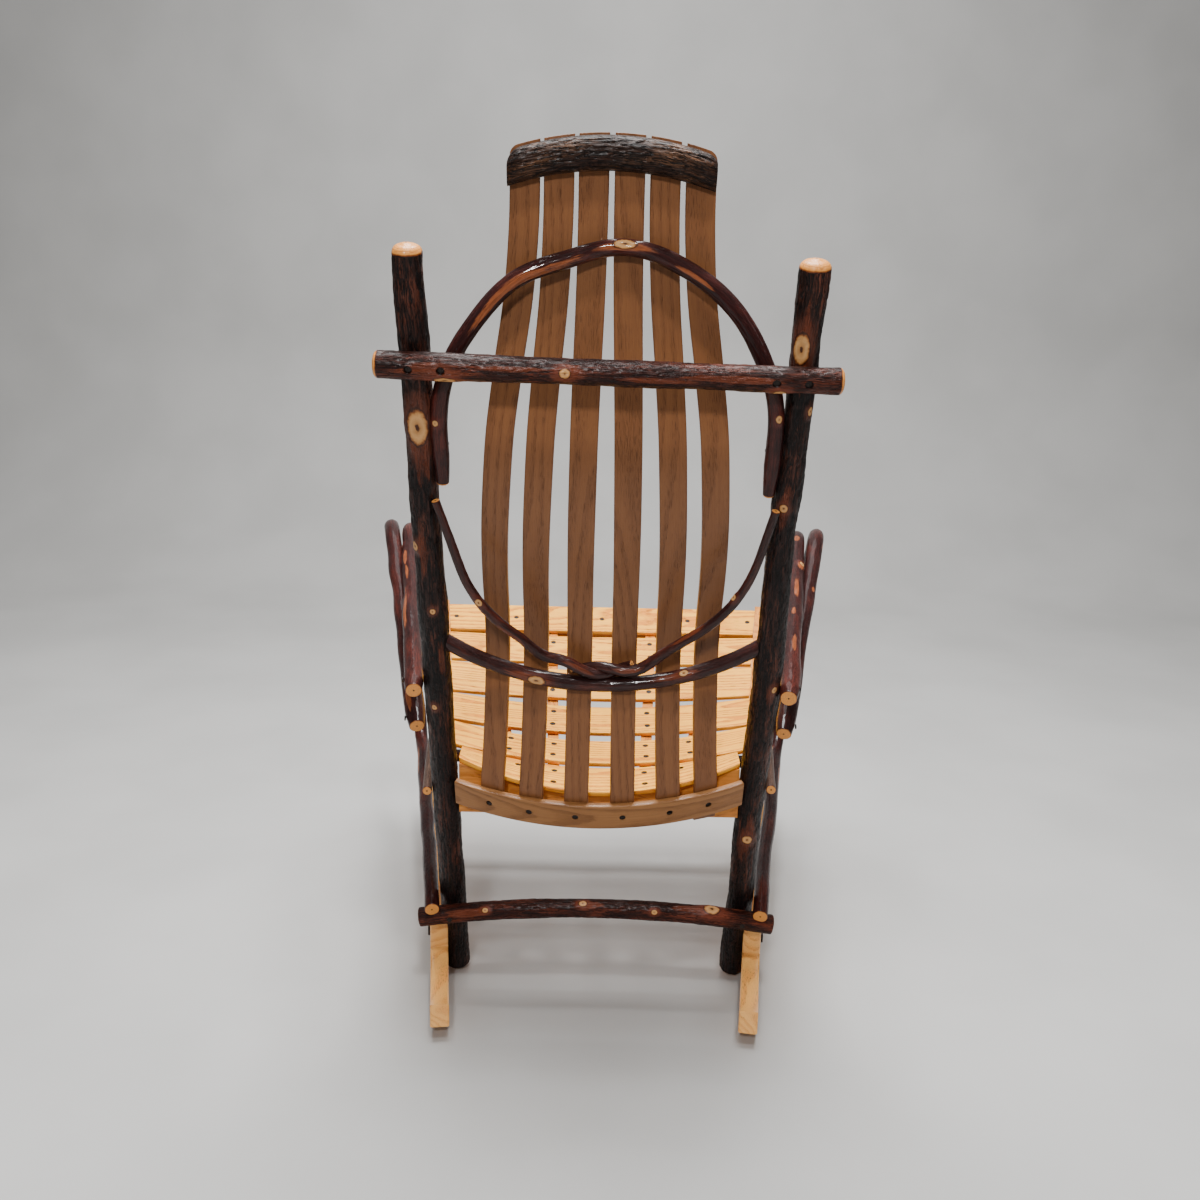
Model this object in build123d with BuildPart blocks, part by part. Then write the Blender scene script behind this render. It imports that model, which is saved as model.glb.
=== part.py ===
# Hickory rocking chair: bark-on hickory sticks with bent oak slats, seat and rockers.
# Millimetres. The sitter faces -Y, the sitter's left is +X, +Z is up, the rockers stand on Z = 0.
from math import asin, atan2, cos, hypot, radians, sin, sqrt, tan

import os

from build123d import *

os.makedirs("parts", exist_ok=True)

fit = 0.3                     # clearance left between pieces that touch

# ---- driving sizes ---------------------------------------------------------------------------
post_dia = 35.0
post_x = 203.3                # half the spacing of the post centres
post_foot_y, post_foot_z = 91.0, 14.0
post_lean = radians(19.4)
post_length = {"left": 1050.0, "right": 1043.0}

rocker_thick = 25.4
rocker_radius = 1050.0
rocker_low_y = 57.5           # the chair's balance point, where the rockers touch the floor
rocker_depth = 40.0
rocker_front_y, rocker_tail_y = -452.0, 276.0
rocker_toe = radians(8.2)
rocker_x_at_post = 230.6
rocker_pad_top, rocker_pad_back = 112.0, 138.0

arm_dia, hoop_dia, side_stick_dia = 24.0, 24.0, 12.5
stretcher_dia, stretcher_length, stretcher_bow = 27.0, 494.0, 13.0
bar_dia, bar_length, bar_z = 27.5, 483.0, 892.0
bar_slant = radians(0.95)      # the cross bar's left end lies a little higher
back_hoop_dia = 19.5
lumbar_bow_dia, lumbar_stick_dia = 19.0, 11.0

slat_width, slat_thick = 31.0, 8.0
rail_height, rail_thick, rail_radius = 38.0, 9.0, 493.0
rail_mid_y, rail_mid_z = 244.0, 317.5      # front face of the bent rail at mid-length
rail_end_x = 191.0

seat_slat_width, seat_slat_thick = 70.0, 7.0
seat_gaps = (15.0, 18.0, 20.0, 26.0, 15.0)  # from the front
seat_rear_y, seat_rear_z = 232.0, 342.0
board_thick = 20.0
side_rail_thick = 25.4

screw_head_dia, screw_head_depth = 7.0, 2.0

# ---- directions shared by the leaning back ---------------------------------------------------
lean_y, lean_z = sin(post_lean), cos(post_lean)       # along a post
norm_y, norm_z = lean_z, -lean_y                      # square to the posts, toward the rear


def post_y(z):
    """Y of a post's centre line at height z."""
    return post_foot_y + (z - post_foot_z) * tan(post_lean)


def rocker_x(y):
    """X of the rocker's centre line at y; the rockers toe out toward the front."""
    return rocker_x_at_post + (post_foot_y - y) * tan(rocker_toe)


def rocker_bottom(y):
    """Height of the rocker's lower edge at y."""
    return rocker_radius - sqrt(rocker_radius ** 2 - (y - rocker_low_y) ** 2)


def rocker_plane(sgn, off=0.0):
    """Upright plane along a rocker, shifted outward by off; local x runs rearward."""
    middle = Plane(origin=(sgn * rocker_x(0), 0, 0), x_dir=(sgn * -tan(rocker_toe), 1, 0),
                   z_dir=(1, sgn * tan(rocker_toe), 0))
    return middle.offset(sgn * off)


def mirrored(x_sign, points):
    return [(x_sign * x, y, z) for x, y, z in points]


def save(part, name):
    part.label = name
    export_step(part, f"parts/{name}.step")


sides = (("left", 1), ("right", -1))

# ---- rockers ---------------------------------------------------------------------------------
# Sawn from oak board. The lower edge is one arc; the upper edge follows it, rises to a pad that
# carries the post and drops behind it into a scooped tail.
half_rocker = rocker_thick / 2
frame_bolt_dia, frame_bolt_head = 6.0, 16.0
leg_foot_y, leg_foot_z = -285.0, rocker_bottom(-285.0) + 6
bolt_spots = ((post_foot_y + 22, 74.0), (leg_foot_y + 1.5, leg_foot_z + 20))
for side, sgn in sides:
    k = 1 / cos(rocker_toe)                            # plan distance along the toed-out board

    def edge(y, lift):
        return (y * k, rocker_bottom(y) + lift)

    with BuildPart() as rocker:
        with BuildSketch(rocker_plane(sgn)):
            with BuildLine():
                ThreePointArc(edge(rocker_front_y + 12, 0), edge(-90, 0), edge(rocker_tail_y, 0))
                Line(edge(rocker_tail_y, 0), edge(rocker_tail_y - 4, 31))
                ThreePointArc(edge(rocker_tail_y - 4, 31), edge(205, 33),
                              (rocker_pad_back * k, 60))
                Line((rocker_pad_back * k, 60), (rocker_pad_back * k, rocker_pad_top))
                Line((rocker_pad_back * k, rocker_pad_top), (48 * k, rocker_pad_top))
                ThreePointArc((48 * k, rocker_pad_top), edge(-12, rocker_depth + 16),
                              edge(-95, rocker_depth))
                ThreePointArc(edge(-95, rocker_depth), edge(-270, rocker_depth),
                              edge(rocker_front_y + 12, rocker_depth))
                ThreePointArc(edge(rocker_front_y + 12, rocker_depth),
                              edge(rocker_front_y, rocker_depth / 2),
                              edge(rocker_front_y + 12, 0))
            make_face()
        extrude(amount=half_rocker, both=True)
        for y, z in bolt_spots:
            with BuildSketch(rocker_plane(sgn)):
                with Locations((y * k, z)):
                    Circle(frame_bolt_dia / 2 + fit)
            extrude(amount=half_rocker * 2, both=True, mode=Mode.SUBTRACT)
    save(rocker.part, f"rocker_{side}")

# ---- back posts ------------------------------------------------------------------------------
# Straight hickory poles with the bark on, leaning back, domed at the top. The foot is flatted
# where it lies against the rocker, and the seat rail and lumbar bow are let into round holes.
rear_rail_y, rear_rail_z = 192.0, 318.0
bow_end_z = 556.0
tenon_dia, tenon_deep = 14.0, 14.0
bow_tenon_dia = 12.0
for side, sgn in sides:
    post_plane = Plane(origin=(sgn * post_x, post_foot_y, post_foot_z), x_dir=(1, 0, 0),
                       z_dir=(0, lean_y, lean_z))
    flat_plane = rocker_plane(sgn, -(half_rocker + fit))
    with BuildPart() as post:
        with BuildSketch(post_plane):
            Circle(post_dia / 2)
        extrude(amount=post_length[side])
        fillet(post.edges().group_by(Axis.Z)[-1], 7)
        with BuildSketch(flat_plane):
            with Locations((post_foot_y, 50)):
                Rectangle(120, 2 * (rocker_pad_top + fit - 50))
        extrude(amount=sgn * 20, mode=Mode.SUBTRACT)
        with BuildSketch(Plane.YZ):
            with Locations((rear_rail_y, rear_rail_z)):
                Circle(tenon_dia / 2 + fit)
        extrude(amount=sgn * (post_x - post_dia / 2 + tenon_deep + 1), mode=Mode.SUBTRACT)
        with BuildSketch(Plane.YZ):
            with Locations((post_y(bow_end_z), bow_end_z)):
                Circle(bow_tenon_dia / 2 + fit)
        extrude(amount=sgn * (post_x - post_dia / 2 + 11), mode=Mode.SUBTRACT)
        with BuildSketch(flat_plane):
            with Locations((bolt_spots[0][0] / cos(rocker_toe), bolt_spots[0][1])):
                Circle(frame_bolt_dia / 2 + fit)
        extrude(amount=sgn * -18, mode=Mode.SUBTRACT)
    save(post.part, f"back_post_{side}")


# ---- sticks: round poles bent along straight runs and tangent bends ------------------------------
def stick(points, radii, dia, name, bevel=1.6):
    """A round stick of one diameter, its two sawn ends lightly bevelled. The path is filleted
    where radii are given, a free curve through the points for "free", otherwise straight."""
    with BuildPart() as rod:
        with BuildLine():
            if radii == "free":
                Spline(*points, tangents=(Vector(*points[1]) - Vector(*points[0]),
                                          Vector(*points[-1]) - Vector(*points[-2])))
            elif radii:
                FilletPolyline(*points, radius=radii)
            else:
                Line(*points)
        start, turn = Vector(*points[0]), Vector(*points[1]) - Vector(*points[0])
        with BuildSketch(Plane(origin=start, z_dir=turn)):
            Circle(dia / 2)
        sweep(transition=Transition.ROUND)
        ends = [f for f in rod.faces() if f.geom_type == GeomType.PLANE]
        chamfer([e for f in ends for e in f.edges()], bevel)
    save(rod.part, name)
    return rod.part


# Arm: one stick that runs forward from the post's outer side, loops over and comes down as the
# front leg against the inner face of the rocker. It lies in one splayed, outward-leaning plane.
arm_r = arm_dia / 2
touch_x = post_x + post_dia / 2 + arm_r + fit         # where a stick lies beside the post
arm_cross_z = 497.0
leg_foot_x = rocker_x(leg_foot_y) - (half_rocker + arm_r + fit) / cos(rocker_toe) - 4
arm_loop_x, arm_loop_y, arm_loop_z = 307.8, -172.0, 612.0
# plane x = pa + pb * y + pc * z through the post crossing, the foot and the loop
y1, z1, x1 = post_y(arm_cross_z), arm_cross_z, touch_x + 0.5
d12 = (x1 - leg_foot_x, y1 - leg_foot_y, z1 - leg_foot_z)
d13 = (x1 - arm_loop_x, y1 - arm_loop_y, z1 - arm_loop_z)
det = d12[1] * d13[2] - d13[1] * d12[2]
pb = (d12[0] * d13[2] - d13[0] * d12[2]) / det
pc = (d12[1] * d13[0] - d13[1] * d12[0]) / det
pa = x1 - pb * y1 - pc * z1


def arm_plane_x(y, z):
    return pa + pb * y + pc * z


arm_rear = (282.0, 491.0)
arm_corner = (-271.0, 645.3)
arm_yz = (arm_rear, arm_corner, (leg_foot_y, leg_foot_z))
arm_points = [(arm_plane_x(y, z), y, z) for y, z in arm_yz]
for side, sgn in sides:
    stick(mirrored(sgn, arm_points), [105.0], arm_dia, f"arm_{side}")

# Side hoop: a second stick nailed lower on the post; it rises under the arm, loops outside it,
# comes down in front and runs back low down to lie on the rear stretcher.
stretcher_z = 121.0
stretcher_r = stretcher_dia / 2


def stretcher_rise(x):
    return stretcher_z + stretcher_bow * (1 - (2 * x / stretcher_length) ** 2)


near_post_z = stretcher_rise(post_x)
stretcher_y = post_y(near_post_z) + (post_dia / 2 + stretcher_r + fit + 1) / lean_z
hoop_r = hoop_dia / 2
run_z = stretcher_rise(226.0) + stretcher_r + hoop_r + fit
hoop_rear_z = 431.0
hoop_points = [(touch_x + 0.4, post_y(hoop_rear_z) + 4, hoop_rear_z), (355.0, -233.0, 657.0),
               (339.0, -436.0, 190.0), (touch_x - 5.3, stretcher_y + 6, run_z)]
for side, sgn in sides:
    stick(mirrored(sgn, hoop_points), [118.0, 78.0], hoop_dia, f"side_hoop_{side}")

# Thin stick outside the post under the seat, running forward to the front leg's inner side.
stick_r = side_stick_dia / 2
leg_at = arm_plane_x(-279.0, 385.0) - (arm_r + stick_r + fit)
for side, sgn in sides:
    stick(mirrored(sgn, [(post_x + post_dia / 2 + stick_r + fit - 0.7, 213.0, 330.0),
                         (leg_at, -296.0, 385.0)]), None, side_stick_dia,
          f"seat_side_stick_{side}", bevel=1.0)

# Rear stretcher: lapped behind the posts and bowed slightly upward.
with BuildPart() as rear_stretcher:
    with BuildLine():
        half = stretcher_length / 2
        ThreePointArc((-half, stretcher_y, stretcher_z), (0, stretcher_y, stretcher_rise(0)),
                      (half, stretcher_y, stretcher_z))
    with BuildSketch(Plane(origin=(-half, stretcher_y, stretcher_z),
                           z_dir=(1, 0, 4 * stretcher_bow / stretcher_length))):
        Circle(stretcher_r)
    sweep()
    chamfer([e for f in rear_stretcher.faces() if f.geom_type == GeomType.PLANE
             for e in f.edges()], 2)
save(rear_stretcher.part, "rear_stretcher")

# Front stretcher: behind the front legs.
front_stretcher_z, front_stretcher_r = 200.0, 11.0
front_leg_y = leg_foot_y + (front_stretcher_z - leg_foot_z) * \
    (arm_corner[0] - leg_foot_y) / (arm_corner[1] - leg_foot_z)
front_y = front_leg_y + arm_r + front_stretcher_r + fit
front_half = arm_plane_x(front_leg_y, front_stretcher_z) + 24
stick([(-front_half, front_y, front_stretcher_z), (front_half, front_y, front_stretcher_z)],
      None, 2 * front_stretcher_r, "front_stretcher")

# Cross bar: lies behind the posts near their tops.
bar_r = bar_dia / 2
bar_off = post_dia / 2 + bar_r + fit
bar_y = post_y(bar_z) + bar_off * norm_y
bar_zc = bar_z + bar_off * norm_z
bar_way = (cos(bar_slant), sin(bar_slant) * lean_y, sin(bar_slant) * lean_z)
bar_plane = Plane(origin=(0, bar_y, bar_zc), x_dir=bar_way, z_dir=(0, norm_y, norm_z))
bar_screw_x = (post_x, post_x - 33.0)
with BuildPart() as cross_bar:
    with BuildSketch(Plane(origin=bar_plane.from_local_coords(Vector(-bar_length / 2, 0, 0)),
                           z_dir=bar_way)):
        Circle(bar_r)
    extrude(amount=bar_length)
    chamfer(cross_bar.edges().filter_by(GeomType.CIRCLE), 2)
    with BuildSketch(bar_plane.offset(bar_r - 5)):
        with Locations(*[(s * x, 0) for x in bar_screw_x for s in (1, -1)]):
            Circle(screw_head_dia / 2 + fit)
    extrude(amount=20, mode=Mode.SUBTRACT)
save(cross_bar.part, "cross_bar")

with BuildPart() as bar_screws:
    with BuildSketch(bar_plane.offset(bar_r - 5)):
        with Locations(*[(s * x, 0) for x in bar_screw_x for s in (1, -1)]):
            Circle(screw_head_dia / 2)
    extrude(amount=screw_head_depth)
save(bar_screws.part, "bar_screws")

# Back hoop: legs lie against the posts' inner sides in front of the bar, crown against the slats.
bh_r = back_hoop_dia / 2
bh_x = post_x - post_dia / 2 - bh_r - fit
bh_off = bar_off - bar_r - bh_r - fit


def bh_leg(z):
    return (bh_x, post_y(z - bh_off * norm_z) + bh_off * norm_y, z)


# The crown is bent by hand and lopsided: (x, z) from the sitter's left shoulder to the right one.
crown = ((161, 896), (139, 930), (93, 976), (50, 992.5), (0, 1006.5), (-36, 1004), (-67, 992),
         (-105, 969), (-138, 936), (-158, 903))
crown_y, crown_z = 398.3, 1006.5                     # where it lies on the slats
crown_back_y, crown_back_z = 404.5, 930.0            # where it stands farthest behind them


def crown_point(x, z):
    lean_in = ((z - crown_back_z) / (crown_z - crown_back_z)) ** 2
    return (x, crown_back_y - (crown_back_y - crown_y) * lean_in, z)


leg_low_z, leg_high_z = 757.0, 850.0
hoop_legs = [bh_leg(leg_low_z), (bh_x - 1.6,) + bh_leg(leg_high_z)[1:]]
stick(hoop_legs + [crown_point(x, z) for x, z in crown] + mirrored(-1, hoop_legs)[::-1],
      "free", back_hoop_dia, "back_hoop")

# ---- bent oak back slats -------------------------------------------------------------------------
# Side view: feet lie along the leaning rail, the lumbar swells toward the sitter, the top leans back.
side_view = ((302, 238.5), (345, 253.7), (410, 258.0), (475, 260.0), (530, 258.5), (580, 271),
             (630, 294), (672, 321), (714, 345), (758, 358.5), (812, 366), (880, 372), (960, 379),
             (1020, 390), (1122, 408.2))
# Front view: half the fan's width at the same stations, measured to the outer slats' centres.
fan = (140, 139.2, 135.5, 133, 132, 131.5, 131, 128.7, 125.5, 122, 117.5, 108.4, 96.5, 91,
       88.6)
spread = ((-1, -1), (-0.645, -0.593), (-0.218, -0.19), (0.21, 0.217), (0.632, 0.611), (1, 1))
bend_low_z, bend_high_z = 540.0, 840.0               # the slats flatten out between these heights

# The crest lies on the backs of the slat tops, and the tops are sawn along its upper edge.
crest_height, crest_depth, crest_half, crest_arch = 36.0, 19.0, 107.0, 18.0
crest_mid_z, crest_slant = 1098.0, radians(0.65)
crest_radius = (crest_half ** 2 + crest_arch ** 2) / (2 * crest_arch)
top_y, top_z = side_view[-1][1], side_view[-1][0]
under_y, under_z = side_view[-2][1], side_view[-2][0]
top_tilt = atan2(top_y - under_y, top_z - under_z)
crest_c = crest_mid_z - crest_arch
crest_plane = Plane(origin=(0, under_y + (crest_c - under_z) * tan(top_tilt) + fit, crest_c),
                    x_dir=(cos(crest_slant), sin(crest_slant) * sin(top_tilt),
                           sin(crest_slant) * cos(top_tilt)),
                    z_dir=(0, -cos(top_tilt), sin(top_tilt)))


def bend(z):
    """How fully a slat follows the curve of the lower rail: 1 at the foot, 0 toward the top."""
    t = min(max((z - bend_low_z) / (bend_high_z - bend_low_z), 0), 1)
    return 1 - t * t * (3 - 2 * t)


def slat_path(i, n):
    """Rear-face centre of slat n at station i."""
    z, y = side_view[i]
    low, high = spread[n]
    x = fan[i] * (low + (high - low) * i / (len(fan) - 1))
    sag = rail_radius - sqrt(rail_radius ** 2 - x ** 2)
    return Vector(x, y - sag / lean_z * bend(z), z)


for n in range(6):
    path = [slat_path(i, n) for i in range(len(side_view))]
    with BuildPart() as slat:
        for i, p in enumerate(path):
            ahead, behind = path[min(i + 1, len(path) - 1)], path[max(i - 1, 0)]
            turn = atan2(p.X, sqrt(rail_radius ** 2 - p.X ** 2) * lean_z) * bend(p.Z)
            with BuildSketch(Plane(origin=p, x_dir=(cos(turn), -sin(turn), 0),
                                   z_dir=ahead - behind)):
                with Locations((0, -slat_thick / 2)):
                    Rectangle(slat_width, slat_thick)
        loft(ruled=True)
        with BuildSketch(crest_plane):
            with Locations((0, crest_height)):
                Rectangle(3 * crest_half, 2 * crest_height)
            with Locations((0, crest_arch - crest_radius)):
                Circle(crest_radius + crest_height / 2, mode=Mode.SUBTRACT)
        extrude(amount=2 * crest_height, both=True, mode=Mode.SUBTRACT)
        if n in (0, 5):
            top_corners = slat.edges().filter_by(
                lambda e: e.center().Z > crest_c and e.length < slat_thick * 1.5)
            fillet(top_corners.sort_by(Axis.X)[0 if n == 0 else -1], 8)
    save(slat.part, f"back_slat_{n + 1}")

# ---- bent lower rail ---------------------------------------------------------------------------
# Bent in the plane square to the posts, its ends coped to the posts' round inner sides.
rail_plane = Plane(origin=(0, rail_mid_y + fit + 0.2, rail_mid_z), x_dir=(1, 0, 0),
                   z_dir=(0, lean_y, lean_z))


def rail_sag(x, radius):
    return radius - sqrt(radius ** 2 - x ** 2)


rail_screw_x = [fan[0] * s[0] for s in spread]
outer_radius = rail_radius + rail_thick
screw_planes = []
for x in rail_screw_x:
    a = asin(x / rail_radius)
    sx = outer_radius * sin(a)
    sy = outer_radius * (cos(a) - 1) + rail_thick
    screw_planes.append(Plane(
        origin=rail_plane.from_local_coords(Vector(sx, sy, 0)),
        z_dir=Vector(sin(a), cos(a) * norm_y, cos(a) * norm_z)))

with BuildPart() as lower_rail:
    with BuildSketch(rail_plane):
        with BuildLine():
            s_in, s_out = rail_sag(rail_end_x, rail_radius), rail_sag(rail_end_x, outer_radius)
            ThreePointArc((-rail_end_x, -s_in), (0, 0), (rail_end_x, -s_in))
            Line((rail_end_x, -s_in), (rail_end_x, rail_thick - s_out))
            ThreePointArc((rail_end_x, rail_thick - s_out), (0, rail_thick),
                          (-rail_end_x, rail_thick - s_out))
            Line((-rail_end_x, rail_thick - s_out), (-rail_end_x, -s_in))
        make_face()
    extrude(amount=rail_height / 2, both=True)
    with BuildSketch(Plane(origin=(0, post_foot_y, post_foot_z), x_dir=(1, 0, 0),
                           z_dir=(0, lean_y, lean_z))):
        with Locations((post_x, 0), (-post_x, 0)):
            Circle(post_dia / 2 + fit)
    extrude(amount=600, mode=Mode.SUBTRACT)
    for plane in screw_planes:
        with BuildSketch(plane.offset(-screw_head_depth - 1)):
            Circle(screw_head_dia / 2 + fit)
        extrude(amount=12, mode=Mode.SUBTRACT)
save(lower_rail.part, "lower_back_rail")

with BuildPart() as rail_screws:
    for plane in screw_planes:
        with BuildSketch(plane.offset(-screw_head_depth - 1)):
            Circle(screw_head_dia / 2)
        extrude(amount=screw_head_depth)
save(rail_screws.part, "rail_screws")

# ---- crest ---------------------------------------------------------------------------------------
# A half log bent to a low arch; its flat face lies on the backs of the slat tops.
with BuildPart() as crest:
    with BuildLine(crest_plane):
        ThreePointArc((-crest_half, 0), (0, crest_arch), (crest_half, 0))
    start_slope = 4 * crest_arch / (2 * crest_half)
    arc_start = crest_plane.from_local_coords(Vector(-crest_half, 0, 0))
    tangent = crest_plane.from_local_coords(Vector(-crest_half + 1, start_slope, 0)) - arc_start
    with BuildSketch(Plane(origin=arc_start, x_dir=(0, cos(top_tilt), -sin(top_tilt)),
                           z_dir=tangent)):
        with BuildLine():
            ThreePointArc((0, -crest_height / 2), (crest_depth, 0), (0, crest_height / 2))
            Line((0, crest_height / 2), (0, -crest_height / 2))
        make_face()
    sweep()
save(crest.part, "crest")

# ---- seat ----------------------------------------------------------------------------------------
# Side view of the seat: nearly flat at the rear, then a bend, then a straight rise to the front.
flat_slope, front_slope = radians(5.0), radians(21.8)
seat_length = 6 * seat_slat_width + sum(seat_gaps)
flat_run, bend_run = 150.0, 130.0                    # lengths from the rear edge


def seat_point(s):
    """Centre-line point and slope at distance s forward of the rear edge."""
    turn = front_slope - flat_slope
    radius = bend_run / turn
    a = min(s, flat_run)
    y, z, slope = seat_rear_y - a * cos(flat_slope), seat_rear_z + a * sin(flat_slope), flat_slope
    if s > flat_run:
        b = min(s - flat_run, bend_run)
        slope = flat_slope + b / radius
        y -= radius * (sin(slope) - sin(flat_slope))
        z += radius * (cos(flat_slope) - cos(slope))
    if s > flat_run + bend_run:
        c = s - flat_run - bend_run
        y, z = y - c * cos(front_slope), z + c * sin(front_slope)
    return y, z, slope


def dish(y):
    """Rise of a slat's ends above its middle, 200 mm out from the centre line."""
    return max(0.085 * (y + 190), 0)


def side_rail_x(y):
    """Centre line of the side rail in plan: from the post's front to the front leg's inner side."""
    front_y, rear_y = -281.0, 190.0
    front_x = arm_plane_x(front_y, 425.0) - arm_r - fit - side_rail_thick / 2
    return post_x + 3 + (front_x - post_x - 3) * (rear_y - y) / (rear_y - front_y)


slat_s = []                                          # rear edge of each slat, front slat first
s = seat_length
for gap in seat_gaps + (0.0,):
    s -= seat_slat_width
    slat_s.append(s)
    s -= gap

seat_plan_half = side_rail_thick / 2 + 0.5
front_limit, rear_limit = -300.0, 180.0


def slat_frame(k):
    """Centre (y, z), slope and dish of seat slat k."""
    y, z, _ = seat_point(slat_s[k] + seat_slat_width / 2)
    ya, za, _ = seat_point(slat_s[k])
    yb, zb, _ = seat_point(slat_s[k] + seat_slat_width)
    return (ya + yb) / 2, (za + zb) / 2, atan2(zb - za, ya - yb), dish(y)


def underside(k, where, x):
    """Height of slat k's underside at its front (1) or rear (-1) edge, x from the middle."""
    y, z, slope, d = slat_frame(k)
    lift = d * (x / 200) ** 2 - seat_slat_thick
    return (y - where * seat_slat_width / 2 * cos(slope) + lift * sin(slope),
            z + where * seat_slat_width / 2 * sin(slope) + lift * cos(slope))


bearer_ends = ((82.0, 61.0), (190.0, 112.0))        # x at the front rail, x at the rear rail
front_rail_back, rear_rail_front = -229.0, rear_rail_y - board_thick / 2


def bearer_x(pair, y):
    xf, xr = bearer_ends[pair]
    return xr + (xf - xr) * (rear_rail_front - y) / (rear_rail_front - front_rail_back)


def screw_spots(k):
    """Plan x of the screw heads along slat k, in order of the bearers they go into."""
    if k == 0:
        return (0.0, 143.0, -143.0, 243.0, -243.0)
    return tuple(s * bearer_x(p, slat_frame(k)[0]) for p in (0, 1) for s in (1, -1))


seat_screw_spots = []
for k in range(6):
    y, z, slope, d = slat_frame(k)
    rise_dir = (0, -cos(slope), sin(slope))
    section = Plane(origin=(0, y, z), x_dir=(1, 0, 0), z_dir=rise_dir)
    face = Plane(origin=(0, y, z), x_dir=(1, 0, 0), z_dir=(0, sin(slope), cos(slope)))
    reach = 262.0 if k < 5 else post_x - post_dia / 2 - 2
    sag = d * (reach / 200) ** 2
    rows = (0.0,) if k == 0 else (-17.0, 17.0)
    here = [(x, row) for x in screw_spots(k) for row in rows
            if k < 5 or row < 0 or abs(x) < bearer_ends[0][0]]
    with BuildPart() as seat_slat:
        with BuildSketch(section):
            with BuildLine():
                if sag > 0.5:
                    ThreePointArc((-reach, sag), (0, 0), (reach, sag))
                    ThreePointArc((-reach, sag - seat_slat_thick), (0, -seat_slat_thick),
                                  (reach, sag - seat_slat_thick))
                else:
                    Line((-reach, 0), (reach, 0))
                    Line((-reach, -seat_slat_thick), (reach, -seat_slat_thick))
                    sag = 0
                Line((reach, sag), (reach, sag - seat_slat_thick))
                Line((-reach, sag), (-reach, sag - seat_slat_thick))
            make_face()
        extrude(amount=seat_slat_width / 2, both=True)
        with BuildSketch(Plane.XY):
            if k < 5:
                fx = side_rail_x(front_limit) - seat_plan_half
                rx = side_rail_x(rear_limit) - seat_plan_half
                Polygon((fx, front_limit), (rx, rear_limit), (-rx, rear_limit),
                        (-fx, front_limit), align=None)
            else:
                with BuildLine():
                    edge_drop = reach ** 2 / (2 * rail_radius)
                    ThreePointArc((-reach, seat_rear_y - edge_drop), (0, seat_rear_y),
                                  (reach, seat_rear_y - edge_drop))
                    Polyline((reach, seat_rear_y - edge_drop), (reach, 100), (-reach, 100),
                             (-reach, seat_rear_y - edge_drop))
                make_face()
        extrude(amount=700, mode=Mode.INTERSECT)
        chamfer(seat_slat.edges().filter_by(lambda e: abs(e.center().X) < 1 and e.length > 300)
                .sort_by(Axis.Z)[-2:], 1.0)
        for x, row in here:
            lift = d * (x / 200) ** 2
            with BuildSketch(face.offset(lift - screw_head_depth * 0.8)):
                with Locations((x, row)):
                    Circle(3.6 + fit)
            extrude(amount=12, mode=Mode.SUBTRACT)
            seat_screw_spots.append((face, lift, x, row))
    save(seat_slat.part, f"seat_slat_{k + 1}")

with BuildPart() as seat_screws:
    for face, lift, x, row in seat_screw_spots:
        with BuildSketch(face.offset(lift - screw_head_depth * 0.8 + 0.1)):
            with Locations((x, row)):
                Circle(3.6)
        extrude(amount=0.9)
save(seat_screws.part, "seat_screws")


def upright_board(start, end, outline, thick, name, holes=()):
    """A board standing on edge along the plan line start-end; outline in (distance, height)."""
    run = hypot(end[0] - start[0], end[1] - start[1])
    a, b = (end[0] - start[0]) / run, (end[1] - start[1]) / run
    with BuildPart() as board:
        with BuildSketch(Plane(origin=(start[0], start[1], 0), x_dir=(a, b, 0),
                               z_dir=(b, -a, 0))):
            with BuildLine():
                Polyline(*outline, close=True)
            make_face()
        extrude(amount=thick / 2, both=True)
        for plane, radius in holes:
            with BuildSketch(plane):
                Circle(radius)
            extrude(amount=900, mode=Mode.SUBTRACT)
    save(board.part, name)


# Fore-and-aft bearers: their top edges follow the undersides of the slats they carry.
bearer_thick, bearer_deep = 16.0, 26.0
for number, (pair, sgn) in enumerate(((1, 1), (0, 1), (0, -1), (1, -1)), start=1):
    xf, xr = bearer_ends[pair]
    splay = abs(xf - xr) / (rear_rail_front - front_rail_back)
    end_gap = fit + bearer_thick / 2 * splay
    top_gap = fit + bearer_thick / 2 * splay * tan(front_slope)
    start = (sgn * xr, rear_rail_front - end_gap)
    end = (sgn * xf, front_rail_back + end_gap)
    run_k = hypot(end[0] - start[0], end[1] - start[1]) / (start[1] - end[1])
    top = []
    for k in range(5, -1, -1):
        for where in (-1, 1):
            yy = slat_frame(k)[0] + seat_slat_width / 2
            x_in = bearer_x(pair, yy) - bearer_thick / 2 - 0.5
            uy, uz = underside(k, where, x_in)
            dist = (start[1] - uy) * run_k
            if 0 < dist < (start[1] - end[1]) * run_k:
                top.append((dist, uz - top_gap))
    first = (0.0, top[0][1] - top[0][0] * tan(slat_frame(5)[2]) - 0.2)
    last_d = (start[1] - end[1]) * run_k
    last = (last_d, top[-1][1] + (last_d - top[-1][0]) * tan(front_slope) * 0.98)
    outline = [first] + top + [last, (last_d, last[1] - bearer_deep - 6),
                               (last_d * 0.45, top[4][1] - bearer_deep),
                               (0.0, first[1] - bearer_deep)]
    upright_board(start, end, outline, bearer_thick, f"seat_bearer_{number}")

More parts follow.
